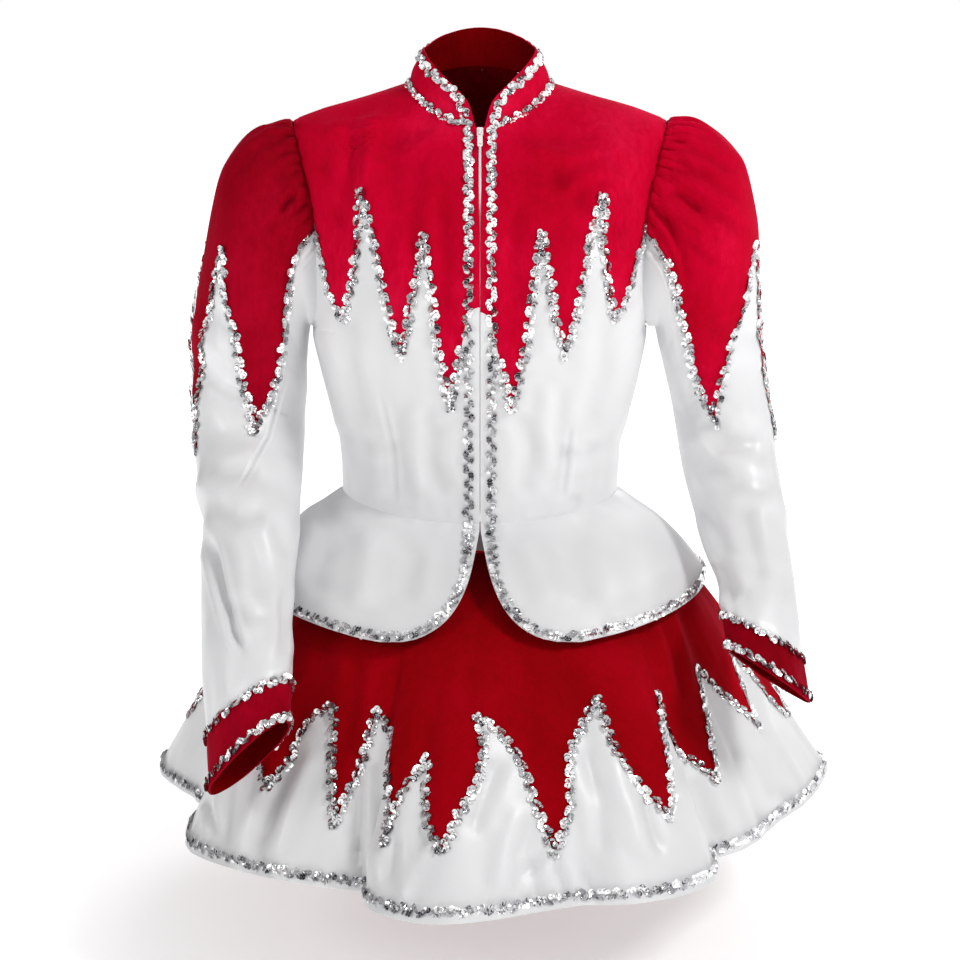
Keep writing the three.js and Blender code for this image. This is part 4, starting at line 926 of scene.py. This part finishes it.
for k in SIDE:
    line = np.vstack([[200, -3], SLEEVE_LINE[k], [-200, -3]])
    us = np.concatenate([np.linspace(-178, -116, 17), np.linspace(-113, 113, 188), np.linspace(116, 178, 17)])
    vs = np.concatenate([[0, 1.2], np.linspace(2.6, 100, 38), np.linspace(104, 296, 44), np.linspace(302, CUFF_AT[k], 42 if k == "right" else 34)])
    U, V, tris = grid(us, vs, closed=True)
    # the seam column of the closed grid lies under the arm, where no flame edge passes
    U, V, up, low = cut(U, V, tris, line, 1.25, 1.0, 1)
    CLOTHS[f"sleeve_cap_{k}"] = piece(f"sleeve_cap_{k}", sleeve[k], U, V, up, "velvet")
    CLOTHS[f"sleeve_lower_{k}"] = piece(f"sleeve_lower_{k}", sleeve[k], U, V, low, "satin")
    U, V, tris = grid(us, np.linspace(CUFF_AT[k], sleeve_end[k] - 0.2, 15), closed=True)
    CLOTHS[f"cuff_{k}"] = piece(f"cuff_{k}", sleeve[k], U, V, tris, "velvet", 1.6)

for k in SIDE:
    ts = np.linspace(0, 1, 64) ** 1.0
    U, V, tris = grid(ts, np.linspace(0, 1, 34))
    CLOTHS[f"peplum_front_{k}"] = piece(f"peplum_front_{k}", peplum_front[k], U, V, tris, "satin")
    U, V, tris = grid(np.linspace(0, 1, 74), np.linspace(0, 1, 16))
    CLOTHS[f"collar_{k}"] = piece(f"collar_{k}", collar[k], U, V, tris, "velvet", CLOTH, collar_turned(SIDE[k]))
U, V, tris = grid(np.linspace(0, 1, 120), np.linspace(0, 1, 34))
CLOTHS["peplum_back"] = piece("peplum_back", peplum_back, U, V, tris, "satin")
U, V, tris = grid(np.arange(150) / 150, np.linspace(0.02, 0.98, 7), closed=True)
CLOTHS["waistband"] = piece("waistband", waistband, U, V, tris, "band", 1.6)

for k, lo in (("front", -90), ("back", 90)):
    U, V, tris = grid(np.linspace(lo, lo + 180, 250), np.linspace(0.003, 1, 94))
    U, V, up, low = cut(U, V, tris, SKIRT_LINE[k], 5.2, 400, 1)
    CLOTHS[f"skirt_velvet_{k}"] = piece(f"skirt_velvet_{k}", skirt, U, V, up, "velvet")
    CLOTHS[f"skirt_satin_{k}"] = piece(f"skirt_satin_{k}", skirt, U, V, low, "satin")


# ---- sequin trims ----------------------------------------------------------------------------------------
RNG = np.random.default_rng(7)
SEGMENTS = 9
RINGS = [(3.0, 0.74), (2.5, 0.66), (0.5, 0.0)]  # radius and height of a cup sequin, mm


def resample(points, step, closed=False):
    if closed:
        points = np.vstack([points, points[:1]])
    seg = np.linalg.norm(np.diff(points, axis=0), axis=1)
    at = np.concatenate([[0], np.cumsum(seg)])
    n = max(2, int(round(at[-1] / step)))
    want = (np.arange(n) + 0.5) * at[-1] / n if not closed else np.arange(n) * at[-1] / n
    k = np.clip(np.searchsorted(at, want, side="right") - 1, 0, len(seg) - 1)
    t = ((want - at[k]) / np.maximum(seg[k], 1e-9))[:, None]
    return points[k] * (1 - t) + points[k + 1] * t, k, t[:, 0]


def trim(points, normals, closed=False, pitch=6.5, gap=3.0, lift=0.9):
    """Places of a strung trim along a line on the cloth: groups of three overlapping cups that swing from side to side."""
    p, k, t = resample(points, 0.5, closed)
    nn = np.vstack([normals, normals[:1]]) if closed else normals
    n = unit(nn[k] * (1 - t)[:, None] + nn[np.minimum(k + 1, len(nn) - 1)] * t[:, None])
    if closed:
        tan = unit(np.roll(p, -4, 0) - np.roll(p, 4, 0))
    else:
        i = np.arange(len(p))
        tan = unit(p[np.minimum(i + 4, len(p) - 1)] - p[np.maximum(i - 4, 0)])
    side = unit(np.cross(n, tan))
    total = 0.5 * len(p)
    groups = max(2, int(round(total / pitch)))
    groups += groups % 2 if closed else 0
    rows = []
    for g in range(groups):
        lean, roll, tone = RNG.normal(0.0, 0.24), RNG.normal(0.0, 0.3), RNG.random()
        sign = 1 if g % 2 else -1
        for m in (-1, 0, 1):
            at = (g + 0.5) * total / groups + m * 2.6 + RNG.normal(0, 0.5)
            i = int(at / 0.5) % len(p) if closed else int(np.clip(at / 0.5, 0, len(p) - 1))
            c = p[i] + side[i] * (sign * gap * (1.0 if m == 0 else 0.7) + RNG.normal(0, 0.62)) + n[i] * (lift + 0.25 * (m + 1) * 0.5)
            if any(np.linalg.norm(c - r[:3]) < 1.8 for r in rows[-12:]):
                continue  # a corner's inner side folds on itself
            rows.append(np.concatenate([c, n[i], tan[i], [0.34 + lean + RNG.normal(0, 0.06), sign * 0.12 + roll + RNG.normal(0, 0.08), np.clip(tone + RNG.normal(0, 0.12), 0, 1)]]))
    return np.array(rows)


def sequins(name, places):
    rows = np.vstack(places)
    c, n0, d = rows[:, :3], unit(rows[:, 3:6]), rows[:, 6:9]
    tilt, roll, tone = rows[:, 9:10], rows[:, 10:11], rows[:, 11]
    count = len(c)
    d = unit(d - n0 * (d * n0).sum(1)[:, None])
    side = np.cross(n0, d)
    z = unit(n0 - d * tilt + side * roll)
    x = unit(d - z * (d * z).sum(1)[:, None])
    y = np.cross(z, x)
    c = c + n0 * (0.9 * np.abs(roll) + 0.5 * np.abs(tilt))
    turn = RNG.random(count) * 2 * math.pi
    scale = RNG.normal(0.98, 0.02, count)
    pts = []
    for r, h in RINGS:
        for s in range(SEGMENTS):
            a = turn + 2 * math.pi * s / SEGMENTS
            pts.append(c + (x * np.cos(a)[:, None] + y * np.sin(a)[:, None]) * (r * scale)[:, None] + z * h)
    P = np.stack(pts, 1).reshape(-1, 3)
    per = len(RINGS) * SEGMENTS
    quads = []
    for j in range(len(RINGS) - 1):
        for s in range(SEGMENTS):
            a, b = j * SEGMENTS + s, j * SEGMENTS + (s + 1) % SEGMENTS
            quads.append([a, b, b + SEGMENTS, a + SEGMENTS])
    Q = (np.array(quads)[None] + (np.arange(count) * per)[:, None, None]).reshape(-1)
    ob = new_mesh(name, P, Q, np.full(len(Q) // 4, 4), [SEQUIN])
    at = ob.data.attributes.new("tone", "FLOAT", "POINT")
    at.data.foreach_set("value", np.repeat(tone, per).astype(np.float32))
    COUNTS[name] = count
    return wear(ob, None)


COUNTS = {}


def along(surface, line, keep=None, closed=False, **kw):
    """A trim along a line of parameters on a surface."""
    U, V = line[:, 0], line[:, 1]
    if keep is not None:
        U, V = U[keep], V[keep]
    return trim(surface(U, V), surface.normal(U, V), closed, **kw)


def faced(normals, much=1.0):
    """A hem's trim hangs with its cups turned outward."""
    flat = unit(normals * [1, 1, 0])
    return unit(normals * (1 - 0.5 * much) + flat * 0.85 * much)


def inset_line(points, normals, d, inward):
    """Moves a line on the cloth sideways by d mm, toward the point inward."""
    pad = np.vstack([2 * points[0] - points[1], points, 2 * points[-1] - points[-2]])
    tan = unit(pad[2:] - pad[:-2])
    side = np.cross(normals, tan)
    if (side * (inward - points)).sum() < 0:
        side = -side
    return points + side * d


# fronts: the flame edges and the strips beside the zip
front_places, STRIP = [], {}
for k in SIDE:
    L = FRONT_LINE[k]
    front_places.append(along(jacket_front[k], L[(L[:, 0] > 0.062) & (L[:, 0] < 0.992)]))
    v = np.linspace(0.004, 1, 260)
    n, w = T[7](v), T[2](v)
    t0, tx = np.arcsin((zip_open(v) / w) ** (n / 2)), np.arcsin((11.4 / w) ** (n / 2))
    a = (tx - t0) / (math.radians(front_inner) - t0)
    STRIP[k] = jacket_front[k](a, v), jacket_front[k].normal(a, v)
sequins("trim_jacket_back", [along(jacket_back, BACK_LINE[np.abs(BACK_LINE[:, 0]) < 0.992])])

# collar: along the rim, down the front corners and along the neck seam
collar_places = []
for k in SIDE:
    far = lambda ss, mm: mm / 62 / (math.pi - np.radians(collar_edge(ss)))  # share of the way round that is mm from the front edge
    s = np.linspace(0.03, 0.8, 40)
    down = np.stack([far(s, 7.4 + 4.6 * smooth((s - 0.4) / 0.4)), s], 1)
    t = np.linspace(down[-1, 0] + 0.006, 1, 70)
    line = np.vstack([down, np.stack([t, np.full(70, 0.8)], 1)])
    P = np.vstack([STRIP[k][0], collar[k](line[:, 0], line[:, 1])])
    N = np.vstack([STRIP[k][1], collar[k].normal(line[:, 0], line[:, 1])])
    for _ in range(4):
        P[1:-1] = 0.25 * P[:-2] + 0.5 * P[1:-1] + 0.25 * P[2:]
        N[1:-1] = unit(0.25 * N[:-2] + 0.5 * N[1:-1] + 0.25 * N[2:])
    split = int(len(STRIP[k][0]) * 0.66)  # below the yoke the strip is strung more loosely
    collar_places.append(trim(P[split:], N[split:], gap=2.4))
    front_places.append(trim(P[:split + 1], N[:split + 1], pitch=7.6, gap=2.6))
    t = np.linspace(0.05, 1, 70)
    collar_places.append(along(collar[k], np.stack([t, np.full(70, 0.03)], 1), gap=1.8))
sequins("trim_jacket_front", front_places)
sequins("trim_collar", collar_places)

# peplum: down the front edges and right round the hem
places = []
pts, nrm = [], []
for k, order in (("right", 1), ("left", -1)):
    s = np.concatenate([np.linspace(0.0, 0.9, 60), 0.9 + 0.0975 * np.sin(np.linspace(0.05, 1.45, 26))])
    e = peplum_front[k]
    P, N = e(np.zeros(len(s)), s), e.normal(np.zeros(len(s)), s)
    t = np.linspace(0.03, 1, 90)
    P2, N2 = e(t, np.full(90, 0.9975)), e.normal(t, np.full(90, 0.9975))
    P, N = np.vstack([P, P2]), np.vstack([N, N2])
    for _ in range(6):
        P[1:-1] = 0.25 * P[:-2] + 0.5 * P[1:-1] + 0.25 * P[2:]
    inset = np.concatenate([5.4 + 5.0 * smooth(1 - s / 0.5), np.full(len(t), 5.4)])[:, None]
    P = inset_line(P, N, inset, e(np.array([0.5]), np.array([0.5]))[0])
    N = faced(N, smooth((np.arange(len(P)) - len(s) + 14)[:, None] / 20))
    pts.append(P)
    nrm.append(N)
t = np.linspace(0.005, 0.995, 180)
P, N = peplum_back(t, np.full(180, 0.9975)), peplum_back.normal(t, np.full(180, 0.9975))
P = inset_line(P, N, 5.4, peplum_back(np.array([0.5]), np.array([0.3]))[0])
N = faced(N)
if np.linalg.norm(pts[1][-1] - P[0]) > np.linalg.norm(pts[1][-1] - P[-1]):
    P, N = P[::-1], N[::-1]
line = np.vstack([pts[1], P, pts[0][::-1]])
norm = np.vstack([nrm[1], N, nrm[0][::-1]])
sequins("trim_peplum", [trim(line, norm, pitch=6.3, gap=2.8)])

# sleeves: flame edges, and both edges of the cuffs
for k in SIDE:
    L = SLEEVE_LINE[k]
    where = [along(sleeve[k], L[L[:, 1] > 3])]
    u = np.linspace(-180, 180, 180, endpoint=False)
    for s in (CUFF_AT[k] + 4.5, sleeve_end[k] - 6.5):
        where.append(along(sleeve[k], np.stack([u, np.full(180, s)], 1), closed=True, gap=2.1))
    sequins(f"trim_sleeve_{k}", where)

# skirt: flame edges and the hem
for k in ("front", "back"):
    L = SKIRT_LINE[k]
    lo = -90 if k == "front" else 90
    inside = (L[:, 0] > lo + 0.2) & (L[:, 0] < lo + 179.8)
    where = [along(skirt, L[inside])]
    u = np.linspace(lo + 0.2, lo + 179.8, 560)
    q = np.full(560, 0.982)
    where.append(trim(skirt(u, q), faced(skirt.normal(u, q)), pitch=6.0, gap=2.9))
    sequins(f"trim_skirt_{k}", where)


# ---- zip ---------------------------------------------------------------------------------------------------
def zip_coil():
    """Two rows of interlocked nylon turns, replacing the plain chain."""
    v = np.linspace(0.006, 0.988, 900)
    mid = torso(np.zeros_like(v), v)
    p, k, t = resample(mid, 1.25)
    sunk = 1.85 * smooth((0.9 - (v[k] + (v[1] - v[0]) * t)) / 0.09) * smooth((v[k] - 0.012) / 0.04)
    tan = unit(np.gradient(p, axis=0))
    x = np.array([1.0, 0, 0])
    out = unit(np.cross(np.broadcast_to(x, tan.shape), tan))
    out = out * np.sign((out * [0, -1, 0]).sum(1))[:, None]
    pts, faces = [], []
    prof = [(-0.5, 0.22), (0.0, 0.08), (0.5, 0.04), (1.0, 0.1), (1.4, 0.4)]
    for side in (-1, 1):
        o = 0.0 if side < 0 else 0.62
        c = p + tan * o - out * (0.85 + sunk[:, None])
        rows = []
        for xx, drop in prof:
            for a in range(6):
                ang = a * math.pi / 3
                rows.append(c + x * side * xx + out * (0.75 - drop + 0.42 * math.sin(ang)) + tan * 0.42 * math.cos(ang))
        pts.append(np.stack(rows, 1))
    P = np.concatenate([q.reshape(-1, 3) for q in pts])
    n, per, q = len(p), 30, []
    for j in range(4):
        for a in range(6):
            b = (a + 1) % 6
            q.append([j * 6 + a, j * 6 + b, j * 6 + 6 + b, j * 6 + 6 + a])
    Q = (np.array(q)[None] + (np.arange(2 * n) * per)[:, None, None]).reshape(-1)
    caps = (np.array([[5, 4, 3, 2, 1, 0], [24, 25, 26, 27, 28, 29]])[None] + (np.arange(2 * n) * per)[:, None, None]).reshape(-1)
    sizes = np.concatenate([np.full(len(Q) // 4, 4), np.full(len(caps) // 6, 6)])
    ob = new_mesh("zip_coil", P, np.concatenate([Q, caps]), sizes, [COIL])
    return wear(ob, "zip_chain")


zip_coil()
for node, m in (("zip_tape_right", TAPE), ("zip_tape_left", TAPE), ("zip_slider", ENAMEL), ("zip_pull", ENAMEL)):
    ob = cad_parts[node]
    for slot_ in ob.material_slots:
        slot_.material = m

# ---- what each sheet was cut to: width and length of the piece's rectangle and its flat area (m, m2) ---------------
FLAT = {
    "yoke_front_right": (0.19, 0.30, 0.040), "yoke_front_left": (0.19, 0.30, 0.040), "yoke_back": (0.38, 0.33, 0.086),
    "body_front_right": (0.19, 0.33, 0.044), "body_front_left": (0.19, 0.33, 0.044), "body_back": (0.36, 0.33, 0.083),
    "sleeve_cap_right": (0.36, 0.36, 0.080), "sleeve_cap_left": (0.36, 0.36, 0.080),
    "sleeve_lower_right": (0.34, 0.50, 0.128), "sleeve_lower_left": (0.34, 0.50, 0.128),
    "cuff_right": (0.30, 0.048, 0.0126), "cuff_left": (0.30, 0.048, 0.0126),
    "collar_right": (0.20, 0.05, 0.007), "collar_left": (0.20, 0.05, 0.007),
    "peplum_front_right": (0.30, 0.17, 0.037), "peplum_front_left": (0.30, 0.17, 0.037), "peplum_back": (0.60, 0.20, 0.078),
    "waistband": (0.72, 0.02, 0.014),
    "skirt_velvet_front": (0.95, 0.36, 0.168), "skirt_velvet_back": (0.95, 0.36, 0.170),
    "skirt_satin_front": (1.05, 0.36, 0.130), "skirt_satin_back": (1.05, 0.36, 0.126),
}
for node, ob in CLOTHS.items():
    w, l, area = FLAT[node]

# ---- floor, light ------------------------------------------------------------------------------------------------
me = bpy.data.meshes.new("floor")
N, R = 96, 30.0
ring_pts = [(R * math.cos(2 * math.pi * i / N), R * math.sin(2 * math.pi * i / N), -0.86) for i in range(N)]
me.from_pydata(ring_pts, [], [list(range(N))])
floor = bpy.data.objects.new("floor", me)
bpy.context.scene.collection.objects.link(floor)
fm, nt, b, co = material("floor_pale_glowing", Roughness=0.9, Specular_IOR_Level=0.1, Emission_Strength=1.0)
nt.links.new(ramp(nt, tex_noise(nt, co, 1.5, 2, 0.5), [(0.3, (0.90, 0.90, 0.90)), (0.7, (0.93, 0.93, 0.93))]), b.inputs["Base Color"])
# the floor glows, faintly near the garment and fully far off: painted light that lightens the garment's shadow and
# keeps the far floor white
far = nt.nodes.new("ShaderNodeVectorMath")
far.operation = "LENGTH"
nt.links.new(co, far.inputs[0])
nt.links.new(ramp(nt, math_node(nt, "MULTIPLY", far.outputs["Value"], 0.25), [(0.2, (0.4, 0.4, 0.4)), (0.38, (0.76, 0.76, 0.76)), (0.75, (0.95, 0.95, 0.95))]), b.inputs["Emission Color"])
me.materials.append(fm)


def area_light(name, at, to, size, watts, color=(1, 1, 1)):
    d = bpy.data.lights.new(name, "AREA")
    d.shape, d.size, d.energy, d.color = "SQUARE", size, watts, color
    o = bpy.data.objects.new(name, d)
    o.location = at
    v = np.array(to, float) - np.array(at, float)
    from mathutils import Vector
    o.rotation_euler = Vector(v).to_track_quat("-Z", "Y").to_euler()
    bpy.context.scene.collection.objects.link(o)


area_light("key", (2.2, -1.3, 2.0), (0, 0, -0.35), 0.8, 52)
area_light("fill", (-2.3, -1.9, 1.0), (0, 0, -0.35), 1.0, 21)
area_light("back", (0.6, 2.4, 1.6), (0, 0, -0.3), 1.8, 30)
world = bpy.data.worlds.new("studio")
bpy.context.scene.world = world
world.use_nodes = True
wn = world.node_tree
bg = wn.nodes["Background"]
# a studio round the garment: bright overhead and to the right, darker low and to the left
wc = wn.nodes.new("ShaderNodeTexCoord").outputs["Generated"]
dot = wn.nodes.new("ShaderNodeVectorMath")
dot.operation = "DOT_PRODUCT"
dot.inputs[1].default_value = (0.42, -0.12, 0.9)
wn.links.new(wc, dot.inputs[0])
wn.links.new(ramp(wn, math_node(wn, "ADD", math_node(wn, "MULTIPLY", dot.outputs["Value"], 0.5), 0.5), [(0.1, (0.14, 0.14, 0.14)), (0.45, (0.24, 0.24, 0.24)), (0.62, (0.52, 0.52, 0.52)), (0.9, (0.95, 0.95, 0.95))]), bg.inputs["Color"])
bg.inputs["Strength"].default_value = 0.44
# what shiny things mirror: dark room, soft boxes above and to the right
patch = wn.nodes.new("ShaderNodeTexNoise")
patch.inputs["Scale"].default_value, patch.inputs["Detail"].default_value, patch.inputs["Roughness"].default_value = 1.9, 2.0, 0.45
wn.links.new(wc, patch.inputs["Vector"])
lean = math_node(wn, "ADD", math_node(wn, "MULTIPLY", dot.outputs["Value"], 0.2), patch.outputs["Fac"])
gloss = wn.nodes.new("ShaderNodeBackground")
wn.links.new(ramp(wn, lean, [(0.36, (0.02, 0.02, 0.022)), (0.47, (0.16, 0.16, 0.165)), (0.55, (0.62, 0.62, 0.62)), (0.68, (1, 1, 1))]), gloss.inputs["Color"])
gloss.inputs["Strength"].default_value = 1.0
bright = wn.nodes.new("ShaderNodeBackground")
bright.inputs["Color"].default_value = (1, 1, 1, 1)
bright.inputs["Strength"].default_value = 1.0
lp = wn.nodes.new("ShaderNodeLightPath")
last = bg.outputs[0]
for ray, node in (("Is Glossy Ray", gloss), ("Is Camera Ray", bright)):
    mix = wn.nodes.new("ShaderNodeMixShader")
    wn.links.new(lp.outputs[ray], mix.inputs[0])
    wn.links.new(last, mix.inputs[1])
    wn.links.new(node.outputs[0], mix.inputs[2])
    last = mix.outputs[0]
wn.links.new(last, wn.nodes["World Output"].inputs["Surface"])
view = bpy.context.scene.view_settings
view.view_transform, view.look, view.exposure, view.gamma = "Standard", "None", 0, 1
